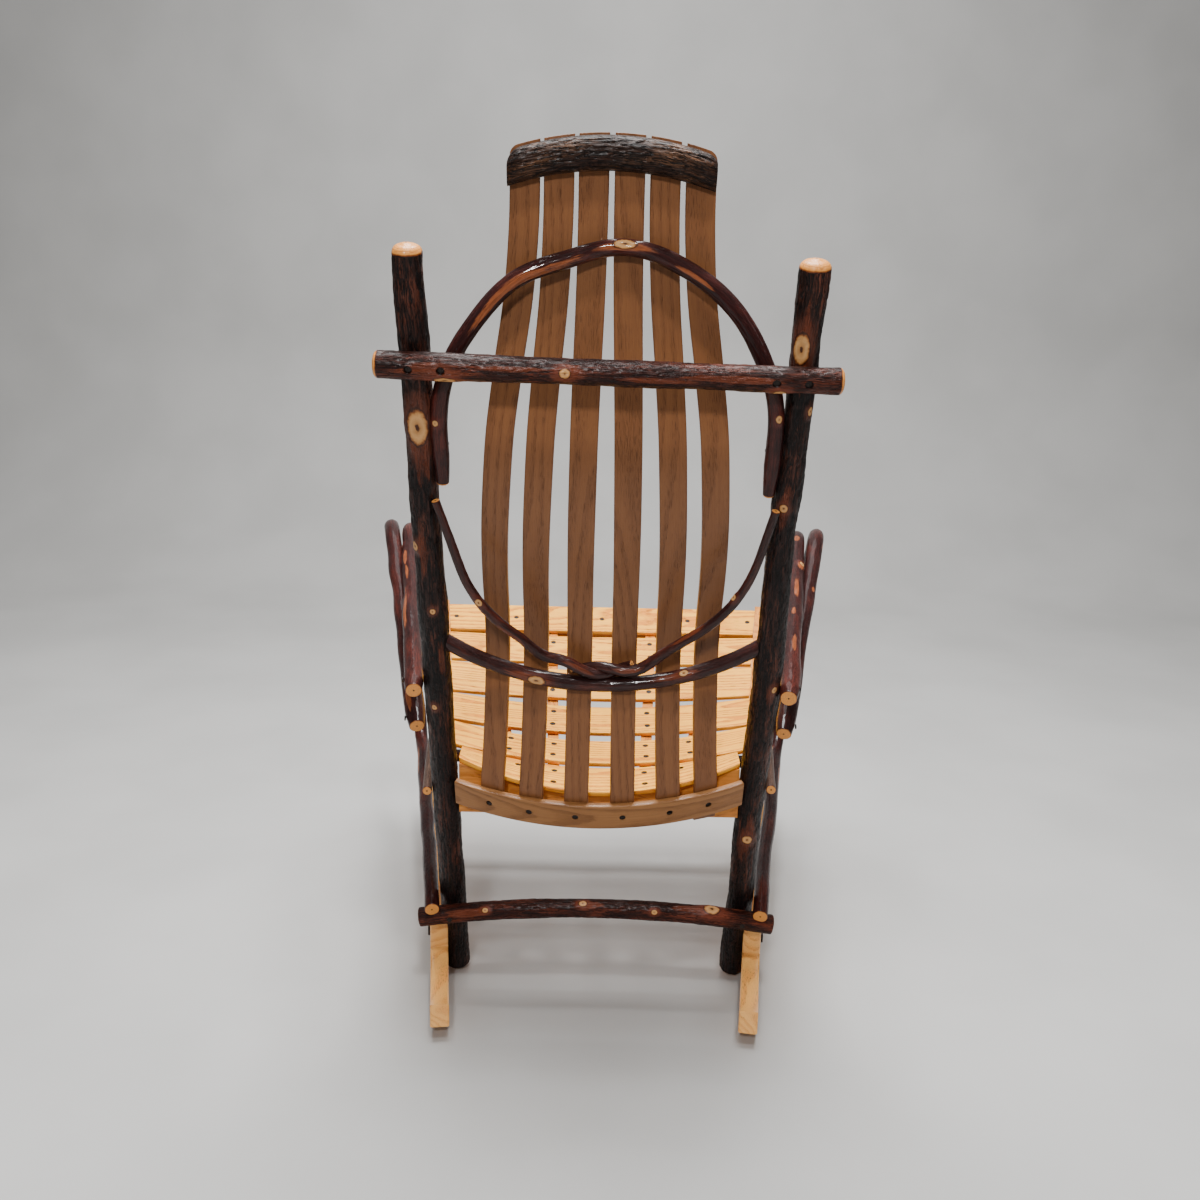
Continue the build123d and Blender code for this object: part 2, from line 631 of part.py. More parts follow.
# Side rails: from the post's front to the inner side of the front leg, notched round the post.
for side, sgn in sides:
    front_end, rear_end = -292.0, 214.0
    start = (sgn * side_rail_x(rear_end), rear_end)
    end = (sgn * side_rail_x(front_end), front_end)
    run_k = hypot(end[0] - start[0], end[1] - start[1]) / (rear_end - front_end)
    stations = [rear_end - (rear_end - front_end) * i / 8 for i in range(9)]
    top = []
    for yy in stations:
        xx = side_rail_x(yy) - side_rail_thick / 2
        lo, hi = 0.0, seat_length + 60
        for _ in range(40):
            mid = (lo + hi) / 2
            if seat_point(mid)[0] > yy:
                lo = mid
            else:
                hi = mid
        lo = min(lo, seat_length - 6)                # level with the front slat's front edge
        top.append(((rear_end - yy) * run_k, seat_point(lo)[1] + dish(yy) * (xx / 200) ** 2 + 1))
    outline = top + [(top[-1][0], top[-1][1] - 42), (top[5][0], top[5][1] - 29),
                     (top[2][0], top[2][1] - 31), (0.0, top[0][1] - 37)]
    notch = Plane(origin=(sgn * post_x, post_foot_y, post_foot_z), z_dir=(0, lean_y, lean_z))
    upright_board(start, end, outline, side_rail_thick, f"seat_side_rail_{side}",
                  holes=((notch, post_dia / 2 + fit),))

# Rear rail: between the posts under the last slat, round tenons into the posts.
rail_half = post_x - post_dia / 2 - fit
under_mid = seat_point((seat_rear_y - rear_rail_y) / cos(flat_slope))[1] - seat_slat_thick - 1.2
rear_dish = slat_frame(5)[3]
with BuildPart() as rear_rail:
    with BuildSketch(Plane(origin=(0, rear_rail_y, 0), x_dir=(1, 0, 0), z_dir=(0, -1, 0))):
        with BuildLine():
            end_z = under_mid + rear_dish * (rail_half / 200) ** 2
            ThreePointArc((-rail_half, end_z), (0, under_mid), (rail_half, end_z))
            Polyline((rail_half, end_z), (rail_half, 297), (-rail_half, 297), (-rail_half, end_z))
        make_face()
    extrude(amount=board_thick / 2, both=True)
    with BuildSketch(Plane.YZ):
        with Locations((rear_rail_y, rear_rail_z)):
            Circle(tenon_dia / 2)
    extrude(amount=rail_half + tenon_deep, both=True)
save(rear_rail.part, "seat_rear_rail")

# Front rail: between the side rails, under the front slat.
front_rail_y = front_rail_back - board_thick / 2
lo, hi = 0.0, seat_length
for _ in range(40):
    mid = (lo + hi) / 2
    if seat_point(mid)[0] > front_rail_back:
        lo = mid
    else:
        hi = mid
front_rail_top = seat_point(lo)[1] - seat_slat_thick / cos(front_slope) - fit
front_rail_half = side_rail_x(front_rail_back) - side_rail_thick / 2 / cos(radians(8.6)) - fit
upright_board((-front_rail_half, front_rail_y), (front_rail_half, front_rail_y),
              [(0, front_rail_top - 52), (0, front_rail_top),
               (2 * front_rail_half, front_rail_top), (2 * front_rail_half, front_rail_top - 52)],
              board_thick, "seat_front_rail")

# ---- lumbar sticks -------------------------------------------------------------------------------
# The bow springs between the posts behind the slats, a round tenon let into each post.
bow_r = lumbar_bow_dia / 2
bow_half = post_x - post_dia / 2 - fit
bow_y = post_y(bow_end_z)
bow_mid_y, bow_mid_z = 260.0 + bow_r + fit, 499.5
with BuildPart() as bow:
    with BuildLine():
        bow_arc = ThreePointArc((-bow_half, bow_y, bow_end_z), (0, bow_mid_y, bow_mid_z),
                                (bow_half, bow_y, bow_end_z))
    with BuildSketch(Plane(origin=bow_arc @ 0, z_dir=bow_arc % 0)):
        Circle(bow_r)
    sweep()
    with BuildSketch(Plane(origin=(0, post_foot_y, post_foot_z), x_dir=(1, 0, 0),
                           z_dir=(0, lean_y, lean_z))):
        with Locations((post_x, 0), (-post_x, 0)):
            Circle(post_dia / 2 + fit)
    extrude(amount=900, mode=Mode.SUBTRACT)
    for sgn in (1, -1):
        with BuildSketch(Plane(origin=(sgn * (bow_half - 6), bow_y, bow_end_z),
                               z_dir=(sgn, 0, 0))):
            Circle(bow_tenon_dia / 2)
        extrude(amount=16)
save(bow.part, "lumbar_bow")

# Two thin sticks come down from the posts and lie across each other on the slats at mid-back.
ls_r = lumbar_stick_dia / 2
slat_back = 260.0 + fit
ls_tip_x, ls_tip_z = -32.0, 517.0
ls_bends = {"left": ((188.0, 737.0), (150.0, 607.0), (40.0, 517.0)),    # (x, z) of end and bends
            "right": ((188.3, 733.4), (162.0, 612.0), (40.0, 521.0))}
ls_end_y, ls_bend_y = 364.0, 323.0
for (side, sgn), depth in zip(sides, (0, 1)):
    mid_y = slat_back + ls_r + depth * (lumbar_stick_dia + 2.6)
    end_xz, bend_xz, meet_xz = ls_bends[side]
    stick(mirrored(sgn, [(end_xz[0], ls_end_y, end_xz[1]), (bend_xz[0], ls_bend_y, bend_xz[1]),
                         (meet_xz[0], mid_y, meet_xz[1]), (ls_tip_x, mid_y, ls_tip_z)]),
          [190.0, 90.0], lumbar_stick_dia, f"lumbar_stick_{side}", bevel=1.0)

# ---- fastenings ----------------------------------------------------------------------------------
# Round-headed bolts hold the posts and front legs to the rockers.
with BuildPart() as bolts:
    for side, sgn in sides:
        rocker_out = rocker_plane(sgn, half_rocker + fit / 2)
        for i, (y, z) in enumerate(bolt_spots):
            with BuildSketch(rocker_out):
                with Locations((y / cos(rocker_toe), z)):
                    Circle(frame_bolt_head / 2)
            extrude(amount=sgn * 3)
            with BuildSketch(rocker_out):
                with Locations((y / cos(rocker_toe), z)):
                    Circle(frame_bolt_dia / 2)
            extrude(amount=-sgn * (rocker_thick + (12 if i == 0 else -1)))
save(bolts.part, "frame_bolts")

# Flush heads of the screws that hold the slat tops to the crest.
crest_face = Plane(origin=(0, under_y, under_z), x_dir=(1, 0, 0),
                   z_dir=(0, -cos(top_tilt), sin(top_tilt)))
with BuildPart() as crest_screws:
    with BuildSketch(crest_face.offset(slat_thick + fit / 2)):
        head_up = (crest_mid_z - 8 - under_z) / cos(top_tilt)
        with Locations(*[(fan[-1] * high, head_up) for low, high in spread]):
            Circle(screw_head_dia / 2)
    extrude(amount=1.4)
save(crest_screws.part, "crest_screws")

# Nail heads where the sticks cross the posts, the rear stretcher and each other.
nail_head, nail_high = 3.2, 1.2
hoop_leg_nail_z = 800.0
low_z = stretcher_rise(post_x)
nail_spots = []
for side, sgn in sides:
    out = touch_x + arm_r + fit / 2
    nail_spots += [((sgn * (out + 1.3), post_y(arm_cross_z), arm_cross_z), (sgn, 0, 0)),
                   ((sgn * (out + 4.2), post_y(hoop_rear_z) - 6, hoop_rear_z + 6), (sgn, 0, 0)),
                   ((sgn * post_x, post_y(low_z) + (post_dia / 2 + stretcher_dia + 0.6) / lean_z,
                     low_z), (0, 1, 0)),
                   ((sgn * bh_x, bh_leg(hoop_leg_nail_z)[1] - bh_r - fit - 0.7, hoop_leg_nail_z),
                    (0, -lean_z, lean_y))]
with BuildPart() as nails:
    for spot, way in nail_spots:
        with BuildSketch(Plane(origin=spot, z_dir=way)):
            Circle(nail_head)
        extrude(amount=nail_high)
save(nails.part, "frame_nails")
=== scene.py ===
# Hickory rocking chair: bark-on hickory sticks with bent oak slats, seat and rockers.
# The sitter faces -Y and +Z is up. Sizes are in millimetres and become metres in surface().
from math import asin, atan2, cos, pi, radians, sin, sqrt, tan

import bpy
import numpy as np
from mathutils import Matrix


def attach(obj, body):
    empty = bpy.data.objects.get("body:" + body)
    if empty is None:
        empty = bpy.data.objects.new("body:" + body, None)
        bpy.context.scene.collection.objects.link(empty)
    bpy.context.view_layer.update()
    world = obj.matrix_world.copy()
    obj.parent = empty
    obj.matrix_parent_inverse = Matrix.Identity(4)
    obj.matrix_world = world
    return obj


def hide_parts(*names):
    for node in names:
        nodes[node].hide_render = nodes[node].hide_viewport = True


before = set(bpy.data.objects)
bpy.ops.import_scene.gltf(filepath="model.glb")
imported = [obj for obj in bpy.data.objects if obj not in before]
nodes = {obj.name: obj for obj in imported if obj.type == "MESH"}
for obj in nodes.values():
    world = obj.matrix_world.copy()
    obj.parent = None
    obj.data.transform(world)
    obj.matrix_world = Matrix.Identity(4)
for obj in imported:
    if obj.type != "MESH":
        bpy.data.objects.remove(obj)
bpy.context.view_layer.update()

# ---- rockers -------------------------------------------------------------------------------------
# Two runners sawn from inch-thick oak board: the lower edge is one arc, the upper edge rises to a
# pad that carries the post and drops behind it into a scooped tail. Edges eased, clear varnish.


def rgb(red, green, blue):
    """A display colour (0-255) as the linear colour that shaders take."""
    c = np.array((red, green, blue)) / 255
    return tuple(np.where(c > 0.04045, ((c + 0.055) / 1.055) ** 2.4, c / 12.92)) + (1.0,)


def surface(name, rows, tips, fields, finishes, row_finish=None, crease=40):
    """A closed skin, in millimetres. Each row of the grid is one loop round the piece and the next
    row is one step along it. Two tips close the ends, or flat faces where tips is None. fields
    holds the same grids of each named value: a place in the straight board or stick, or a mask."""
    m, n = rows.shape[:2]
    here = np.arange(m * n).reshape(m, n)
    ahead = np.roll(here, -1, axis=1)
    quads = np.stack([here[:-1], ahead[:-1], ahead[1:], here[1:]], -1).reshape(-1, 4)
    points = rows.reshape(-1, 3)
    if tips is None:
        corners = np.concatenate([quads.ravel(), here[0][::-1], here[-1]])
        counts = np.r_[np.full(len(quads), 4), n, n]
    else:
        points = np.vstack([points, tips])
        first = np.stack([np.full(n, m * n), ahead[0], here[0]], -1)
        last = np.stack([np.full(n, m * n + 1), here[-1], ahead[-1]], -1)
        corners = np.concatenate([quads.ravel(), first.ravel(), last.ravel()])
        counts = np.r_[np.full(len(quads), 4), np.full(2 * n, 3)]
    a, b, c, d = (points[quads[:, k]] for k in range(4))
    inside = (a * np.cross(b, c) + a * np.cross(c, d)).sum()
    starts = np.r_[0, np.cumsum(counts)[:-1]]
    if inside < 0:
        turned = np.arange(len(corners))
        owner = np.repeat(np.arange(len(counts)), counts)
        corners = corners[2 * starts[owner] + counts[owner] - 1 - turned]
    mesh = bpy.data.meshes.new(name)
    mesh.vertices.add(len(points))
    mesh.vertices.foreach_set("co", (points / 1000).ravel().astype(np.float32))
    mesh.loops.add(len(corners))
    mesh.loops.foreach_set("vertex_index", corners.astype(np.int32))
    mesh.polygons.add(len(counts))
    mesh.polygons.foreach_set("loop_start", starts.astype(np.int32))
    mesh.update(calc_edges=True)
    mesh.polygons.foreach_set("use_smooth", np.ones(len(counts), bool))
    if row_finish is not None:
        bands = np.repeat(np.asarray(row_finish), n)
        ends = np.repeat([row_finish[0], row_finish[-1]], n if tips is not None else 1)
        mesh.polygons.foreach_set("material_index", np.r_[bands, ends].astype(np.int32))
    mesh.set_sharp_from_angle(angle=radians(crease))
    for label, (values, tip_values) in fields.items():
        values = np.asarray(values, float)
        wide = values.ndim == 3
        flat = values.reshape(-1, 3) if wide else values.reshape(-1)
        if tips is not None:
            flat = np.concatenate([flat, np.asarray(tip_values, float)])
        if wide:
            flat = flat / 1000
        layer = mesh.attributes.new(label, "FLOAT_VECTOR" if wide else "FLOAT", "POINT")
        layer.data.foreach_set("vector" if wide else "value", flat.ravel().astype(np.float32))
    for material in finishes:
        mesh.materials.append(material)
    piece = bpy.data.objects.new(name, mesh)
    bpy.context.scene.collection.objects.link(piece)
    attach(piece, "root")
    return piece


def add(tree, kind, *inputs, **settings):
    """Adds a node. Settings are the node's own properties or the names of its inputs."""
    node = tree.nodes.new(kind)
    named = [(key, value) for key, value in settings.items() if not hasattr(node, key)]
    for key, value in settings.items():
        if hasattr(node, key):
            setattr(node, key, value)
    sockets = [(node.inputs[key.replace("_", " ")], value) for key, value in named]
    sockets += list(zip(node.inputs, inputs))
    for socket, value in sockets:
        if isinstance(value, bpy.types.NodeSocket):
            tree.links.new(value, socket)
        elif value is not None:
            socket.default_value = value
    return node


def maths(tree, operation, *inputs):
    return add(tree, "ShaderNodeMath", *inputs, operation=operation).outputs[0]


def vector(tree, operation, *inputs):
    return add(tree, "ShaderNodeVectorMath", *inputs, operation=operation).outputs[0]


def noise(tree, place, scale, detail=2.0, roughness=0.5):
    return add(tree, "ShaderNodeTexNoise", Vector=place, Scale=scale, Detail=detail,
               Roughness=roughness).outputs["Fac"]


def ramp(tree, value, low, high, out_low=0.0, out_high=1.0):
    """Rises smoothly from out_low to out_high while the value goes from low to high."""
    return add(tree, "ShaderNodeMapRange", value, low, high, out_low, out_high,
               interpolation_type="SMOOTHSTEP").outputs[0]


def mix(tree, share, one, other):
    return add(tree, "ShaderNodeMixRGB", share, one, other).outputs[0]


def effect(name, inputs, outputs):
    """A node group with named inputs and outputs: its tree and the sockets at its two ends."""
    tree = bpy.data.node_groups.new(name, "ShaderNodeTree")
    for labels, way in ((inputs, "INPUT"), (outputs, "OUTPUT")):
        for label, kind in labels.items():
            tree.interface.new_socket(label, in_out=way, socket_type="NodeSocket" + kind)
    return tree, add(tree, "NodeGroupInput").outputs, add(tree, "NodeGroupOutput").inputs


def varnished(name, group, values, fields, coat=0.5, coat_roughness=0.12,
              relief=0.0006, turn=(0, 0, 0), specular=0.35):
    """A varnished finish: an effect's colour, roughness and height on the shader. fields names the
    piece's attributes that the effect reads; without one, the place comes from the object."""
    material = bpy.data.materials.new(name)
    material.use_nodes = True
    tree = material.node_tree
    shader = tree.nodes["Principled BSDF"]
    look = add(tree, "ShaderNodeGroup", node_tree=group)
    for label, value in values.items():
        look.inputs[label].default_value = value
    for label, attribute in fields.items():
        read = add(tree, "ShaderNodeAttribute", attribute_name=attribute)
        out = "Vector" if label == "Place" else "Fac"
        tree.links.new(read.outputs[out], look.inputs[label])
    if "Place" not in fields:
        place = add(tree, "ShaderNodeTexCoord").outputs["Object"]
        turned = add(tree, "ShaderNodeMapping", Vector=place, Rotation=turn)
        tree.links.new(turned.outputs[0], look.inputs["Place"])
    tree.links.new(look.outputs["Color"], shader.inputs["Base Color"])
    tree.links.new(look.outputs["Roughness"], shader.inputs["Roughness"])
    bump = add(tree, "ShaderNodeBump", Strength=1.0, Distance=relief, Height=look.outputs["Height"])
    tree.links.new(bump.outputs[0], shader.inputs["Normal"])
    shader.inputs["Specular IOR Level"].default_value = specular
    shader.inputs["Coat Weight"].default_value = coat
    shader.inputs["Coat Roughness"].default_value = coat_roughness
    return material


# Flat-sawn oak: flame-shaped rings drawn out along the board, porous early wood with short dark
# pores, denser late wood between. Place is (across, through, along) in the straight board.
oak, take, give = effect("oak_grain", {"Place": "Vector", "Light": "Color", "Dark": "Color",
                                       "Pore": "Color", "Rings": "Float", "Contrast": "Float",
                                       "Pit_screw_and_shade": "Float"},
                         {"Color": "Color", "Roughness": "Float", "Height": "Float"})
long_place = vector(oak, "MULTIPLY", take["Place"], (1, 1, 0.09))
wavy = noise(oak, vector(oak, "MULTIPLY", take["Place"], (1, 1, 0.35)), 95, 3, 0.6)
flame = noise(oak, long_place, 13, 0.6)
level = maths(oak, "ADD", maths(oak, "MULTIPLY", flame, take["Rings"]),
              maths(oak, "MULTIPLY", wavy, 0.55))
ring = maths(oak, "FRACT", level)
early = maths(oak, "MULTIPLY", ramp(oak, ring, 0.30, 0.86), ramp(oak, ring, 1.0, 0.90))
dashes = noise(oak, vector(oak, "MULTIPLY", take["Place"], (1, 1, 0.045)), 1500, 1.5)
pores = maths(oak, "MULTIPLY", ramp(oak, dashes, 0.56, 0.66),
              maths(oak, "MULTIPLY_ADD", early, 0.75, 0.25))
fibre = noise(oak, vector(oak, "MULTIPLY", take["Place"], (1, 1, 0.02)), 500, 3, 0.6)
cloud = noise(oak, take["Place"], 9, 2)
tone = mix(oak, maths(oak, "MULTIPLY", early, take["Contrast"]), take["Light"], take["Dark"])
tone = mix(oak, ramp(oak, fibre, 0.3, 0.75, 0.0, 0.35), tone, take["Dark"])
tone = mix(oak, ramp(oak, cloud, 0.35, 0.75, 0.0, 0.22), tone, take["Dark"])
tone = mix(oak, maths(oak, "MULTIPLY", pores, 0.8), tone, take["Pore"])
# inside a screw hole the colour goes near-black: the dark screw head, and painted shade in the hole
tone = mix(oak, take["Pit_screw_and_shade"], tone, rgb(22, 14, 10))
oak.links.new(tone, give["Color"])
oak.links.new(maths(oak, "MULTIPLY_ADD", pores, 0.25, 0.36), give["Roughness"])
oak.links.new(maths(oak, "MULTIPLY_ADD", pores, -0.7,
                    maths(oak, "MULTIPLY_ADD", early, -0.3, maths(oak, "MULTIPLY", fibre, 0.25))),
              give["Height"])

rocker_oak = varnished("rocker_oak", oak,
                       {"Light": rgb(255, 190, 104), "Dark": rgb(240, 154, 74),
                        "Pore": rgb(140, 92, 48), "Rings": 22.0, "Contrast": 0.55},
                       {"Place": "unbent"}, relief=0.0003)

post_x, post_foot_y, post_foot_z, post_r = 203.3, 91.0, 14.0, 17.5
post_lean, rocker_toe = radians(19.4), radians(8.2)
rocker_thick, rocker_radius, rocker_low_y = 25.4, 1050.0, 57.5
rocker_spread, rocker_depth, rocker_ease = 230.6, 40.0, 2.5
rocker_front, rocker_tail, tail_depth = -452.0, 276.0, 31.0
pad_front, pad_back, pad_top, scoop_z = 48.0, 138.0, 112.0, 60.0


def rocker_x(y):
    return rocker_spread + (post_foot_y - y) * tan(rocker_toe)


def rocker_bottom(y):
    return rocker_radius - sqrt(rocker_radius ** 2 - (y - rocker_low_y) ** 2)


def arc_through(p, q, r, count):
    """Evenly spaced points on the circular arc from p through q to r, in the plane or in space."""
    p, q, r = (np.array(v, float) for v in (p, q, r))
    a, b = q - p, r - p
    aa, bb, ab = a @ a, b @ b, a @ b
    centre = p + (bb * (aa - ab) * a + aa * (bb - ab) * b) / (2 * (aa * bb - ab * ab))
    e1 = p - centre
    radius = np.linalg.norm(e1)
    e1 = e1 / radius
    e2 = (q - centre) - ((q - centre) @ e1) * e1
    e2 = e2 / np.linalg.norm(e2)
    far = np.arctan2((r - centre) @ e2, (r - centre) @ e1) % (2 * pi)
    t = np.linspace(0, far, count)[:, None]
    return centre + radius * (np.cos(t) * e1 + np.sin(t) * e2)


def edge(y, lift):
    return (y, rocker_bottom(y) + lift)


nose_low, nose_high = edge(rocker_front + 12, 0), edge(rocker_front + 12, rocker_depth)
tail_low, tail_high = edge(rocker_tail, 0), edge(rocker_tail - 4, tail_depth)
neck = edge(-95, rocker_depth)
outline = np.vstack([
    arc_through(nose_low, edge(-90, 0), tail_low, 120),
    np.linspace(tail_low, tail_high, 8)[1:],
    arc_through(tail_high, edge(205, tail_depth + 2), (pad_back, scoop_z), 40)[1:],
    np.linspace((pad_back, scoop_z), (pad_back, pad_top), 12)[1:],
    np.linspace((pad_back, pad_top), (pad_front, pad_top), 20)[1:],
    arc_through((pad_front, pad_top), edge(-12, 56), neck, 40)[1:],
    arc_through(neck, edge(-270, rocker_depth), nose_high, 60)[1:],
    arc_through(nose_high, edge(rocker_front, rocker_depth / 2), nose_low, 14)[1:-1]])


def sawn_board(name, outline, thick, eased, place, finish, offset):
    """A flat board of any outline whose long edges are rounded over: the outline is drawn in by
    e(1 - cos a) while it goes e(1 - sin a) below the face. place puts (u, v, w) in the chair."""
    along = np.roll(outline, -1, 0) - np.roll(outline, 1, 0)
    along = along / np.linalg.norm(along, axis=1)[:, None]
    inward = np.stack([-along[:, 1], along[:, 0]], 1)
    area = (outline[:, 0] * np.roll(outline[:, 1], -1)
            - outline[:, 1] * np.roll(outline[:, 0], -1)).sum()
    inward = inward * np.sign(area)
    a = np.linspace(pi / 2, 0, 5)
    depth = np.r_[-thick / 2 + eased * (1 - np.sin(a)), thick / 2 - eased * (1 - np.sin(a[::-1]))]
    drawn = np.r_[eased * (1 - np.cos(a)), eased * (1 - np.cos(a[::-1]))]
    flat = outline[None] + inward[None] * drawn[:, None, None]
    deep = np.broadcast_to(depth[:, None], flat.shape[:2])
    rows = place(flat[..., 0], flat[..., 1], deep)
    unbent = np.stack([flat[..., 1], deep, flat[..., 0] + offset], -1)
    return surface(name, rows, None, {"unbent": (unbent, None)}, [finish], crease=30)


for side, sgn in (("left", 1), ("right", -1)):
    def stand(u, v, w, sgn=sgn):
        x = rocker_x(u) + w * cos(rocker_toe)
        return np.stack([sgn * x, u + w * sin(rocker_toe), v], -1)

    rocker = sawn_board(f"rocker_{side}_board", outline, rocker_thick, rocker_ease, stand,
                        rocker_oak, 1300 * sgn)
    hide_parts(f"rocker_{side}")

# ---- back posts ----------------------------------------------------------------------------------
# Two hickory poles with the bark left on, leaning back from the rockers. The tops are rounded over
# to bare wood, the feet flatted against the rockers, and side branches are trimmed to oval knots.

# Hickory bark: long interlacing plates with dark furrows between, worn lighter on the crests,
# orange-brown inner bark where it has peeled, and trimmed knots with a dark heart and pale wood.
# Place is (x, y, along) in the straight stick; Knot is the distance from a knot's centre in
# knot widths; Peel is 1 in the middle of a peeled patch; the pit mask is 1 inside a screw hole,
# which is coloured near-black: the dark screw head and painted shade in the hole.
bark, take, give = effect("hickory_bark", {"Place": "Vector", "Knot": "Float", "Peel": "Float",
                                           "Pit_screw_and_shade": "Float", "Furrows": "Float", "Depth": "Float",
                                           "Worn": "Float", "Plate": "Color", "Crest": "Color",
                                           "Furrow": "Color", "Inner": "Color"},
                          {"Color": "Color", "Roughness": "Float", "Height": "Float"})
sway = add(bark, "ShaderNodeTexNoise", Vector=take["Place"], Scale=55, Detail=3).outputs["Color"]
sway = vector(bark, "SCALE", vector(bark, "SUBTRACT", sway, (0.5, 0.5, 0.5)))
sway.node.inputs["Scale"].default_value = 0.004
long_place = vector(bark, "ADD", vector(bark, "MULTIPLY", take["Place"], (1, 1, 0.085)), sway)


def seam(place, scale, width):
    """A dark line wherever a drawn-out noise crosses its middle value."""
    wander = noise(bark, place, scale, 2.5, 0.6)
    off = maths(bark, "ABSOLUTE", maths(bark, "SUBTRACT", wander, 0.5))
    return ramp(bark, off, width, 0.0)


halo = ramp(bark, take["Knot"], 2.6, 1.2)
furrow = maths(bark, "MULTIPLY", seam(long_place, take["Furrows"], 0.08), take["Depth"])
crack = seam(vector(bark, "MULTIPLY", long_place, (1, 1, 0.6)),
             maths(bark, "MULTIPLY", take["Furrows"], 2.3), 0.045)
furrow = maths(bark, "MAXIMUM", furrow, maths(bark, "MULTIPLY", crack,
                                              maths(bark, "MULTIPLY", take["Depth"], 0.7)))
furrow = maths(bark, "MULTIPLY", furrow, maths(bark, "MULTIPLY_ADD", halo, -0.8, 1.0))
fine = noise(bark, vector(bark, "MULTIPLY", take["Place"], (1, 1, 0.06)), 650, 4, 0.6)
blotch = noise(bark, vector(bark, "MULTIPLY", take["Place"], (1, 1, 0.3)), 48, 4, 0.6)
streak = noise(bark, vector(bark, "MULTIPLY", take["Place"], (1, 1, 0.10)), 105, 6, 0.7)
tone = mix(bark, ramp(bark, blotch, 0.44, 0.70), take["Plate"], take["Crest"])
tone = mix(bark, maths(bark, "MULTIPLY", halo, 0.75), tone, take["Crest"])
tone = mix(bark, ramp(bark, fine, 0.62, 0.30, 0.0, 0.6), tone, take["Furrow"])
tone = mix(bark, furrow, tone, take["Furrow"])
bare = maths(bark, "ADD", maths(bark, "MULTIPLY_ADD", take["Peel"], 0.62, take["Worn"]),
             maths(bark, "MULTIPLY_ADD", streak, 1.5, -0.75))
bare = ramp(bark, bare, 0.32, 0.48)
inner = mix(bark, ramp(bark, fine, 0.35, 0.65), take["Inner"], take["Plate"])
inner = mix(bark, 0.55, inner, take["Inner"])
tone = mix(bark, bare, tone, inner)
ragged = maths(bark, "ADD", take["Knot"],
               maths(bark, "MULTIPLY_ADD", noise(bark, take["Place"], 260, 3), 0.34, -0.17))
heart = add(bark, "ShaderNodeValToRGB", ragged)
stops = ((0.0, (58, 30, 16)), (0.13, (74, 40, 20)), (0.22, (172, 122, 72)), (0.55, (198, 150, 96)),
         (0.74, (182, 130, 76)), (0.84, (128, 74, 36)), (0.93, (60, 32, 20)), (1.0, (40, 22, 16)))
for number, (at, colour) in enumerate(stops):
    stop = heart.color_ramp.elements[number] if number < 2 else heart.color_ramp.elements.new(at)
    stop.position, stop.color = at, rgb(*colour)
knot = ramp(bark, ragged, 1.06, 0.94)
tone = mix(bark, knot, tone, heart.outputs["Color"])
# painted shade: a screw hole is coloured near-black for the dark screw head and the shade in it
tone = mix(bark, take["Pit_screw_and_shade"], tone, rgb(10, 7, 6))
bark.links.new(tone, give["Color"])
rough = maths(bark, "MULTIPLY_ADD", furrow, 0.25, maths(bark, "MULTIPLY_ADD", fine, 0.3, 0.30))
bark.links.new(maths(bark, "MULTIPLY_ADD", bare, -0.12, rough), give["Roughness"])
high = maths(bark, "MULTIPLY_ADD", furrow, -1.0, maths(bark, "MULTIPLY", fine, 0.35))
high = maths(bark, "MULTIPLY_ADD", bare, -0.25, high)
flat = maths(bark, "MULTIPLY_ADD", knot, -1.0, 1.0)
bark.links.new(maths(bark, "MULTIPLY", high, flat), give["Height"])

# A sawn end: pale wood with growth rings, a small dark pith, fine checks, and a rim of inner bark.
rings, take, give = effect("growth_rings", {"Place": "Vector", "Core": "Float", "Light": "Color",
                                            "Dark": "Color", "Bark": "Color", "Spacing": "Float"},
                           {"Color": "Color", "Roughness": "Float", "Height": "Float"})
flat = vector(rings, "MULTIPLY", take["Place"], (1, 1, 0))
spread = add(rings, "ShaderNodeVectorMath", flat, operation="LENGTH").outputs["Value"]
uneven = noise(rings, take["Place"], 160, 2)
count = maths(rings, "DIVIDE", spread, take["Spacing"])
turns = maths(rings, "FRACT", maths(rings, "MULTIPLY_ADD", uneven, 0.9, count))
line = maths(rings, "MULTIPLY", ramp(rings, turns, 0.45, 0.9), ramp(rings, turns, 1.0, 0.92))
ray = noise(rings, vector(rings, "NORMALIZE", flat), 7, 3, 0.7)
check = maths(rings, "MULTIPLY", ramp(rings, ray, 0.62, 0.70), ramp(rings, take["Core"], 0.15, 0.5))
speck = noise(rings, take["Place"], 1100, 2)
tone = mix(rings, maths(rings, "MULTIPLY", line, 0.55), take["Light"], take["Dark"])
tone = mix(rings, ramp(rings, speck, 0.45, 0.7, 0.0, 0.35), tone, take["Dark"])
tone = mix(rings, maths(rings, "MULTIPLY", check, 0.5), tone, take["Bark"])
tone = mix(rings, ramp(rings, spread, 0.0016, 0.0008), tone, take["Bark"])
skin = maths(rings, "ADD", take["Core"], maths(rings, "MULTIPLY_ADD", uneven, 0.10, -0.05))
tone = mix(rings, ramp(rings, skin, 0.87, 0.93), tone, rgb(126, 66, 30))
tone = mix(rings, ramp(rings, skin, 0.95, 0.99), tone, take["Bark"])
rings.links.new(tone, give["Color"])
rings.links.new(maths(rings, "MULTIPLY_ADD", speck, 0.2, 0.30), give["Roughness"])
rings.links.new(maths(rings, "MULTIPLY_ADD", line, -0.5, maths(rings, "MULTIPLY", check, -0.8)),
                give["Height"])

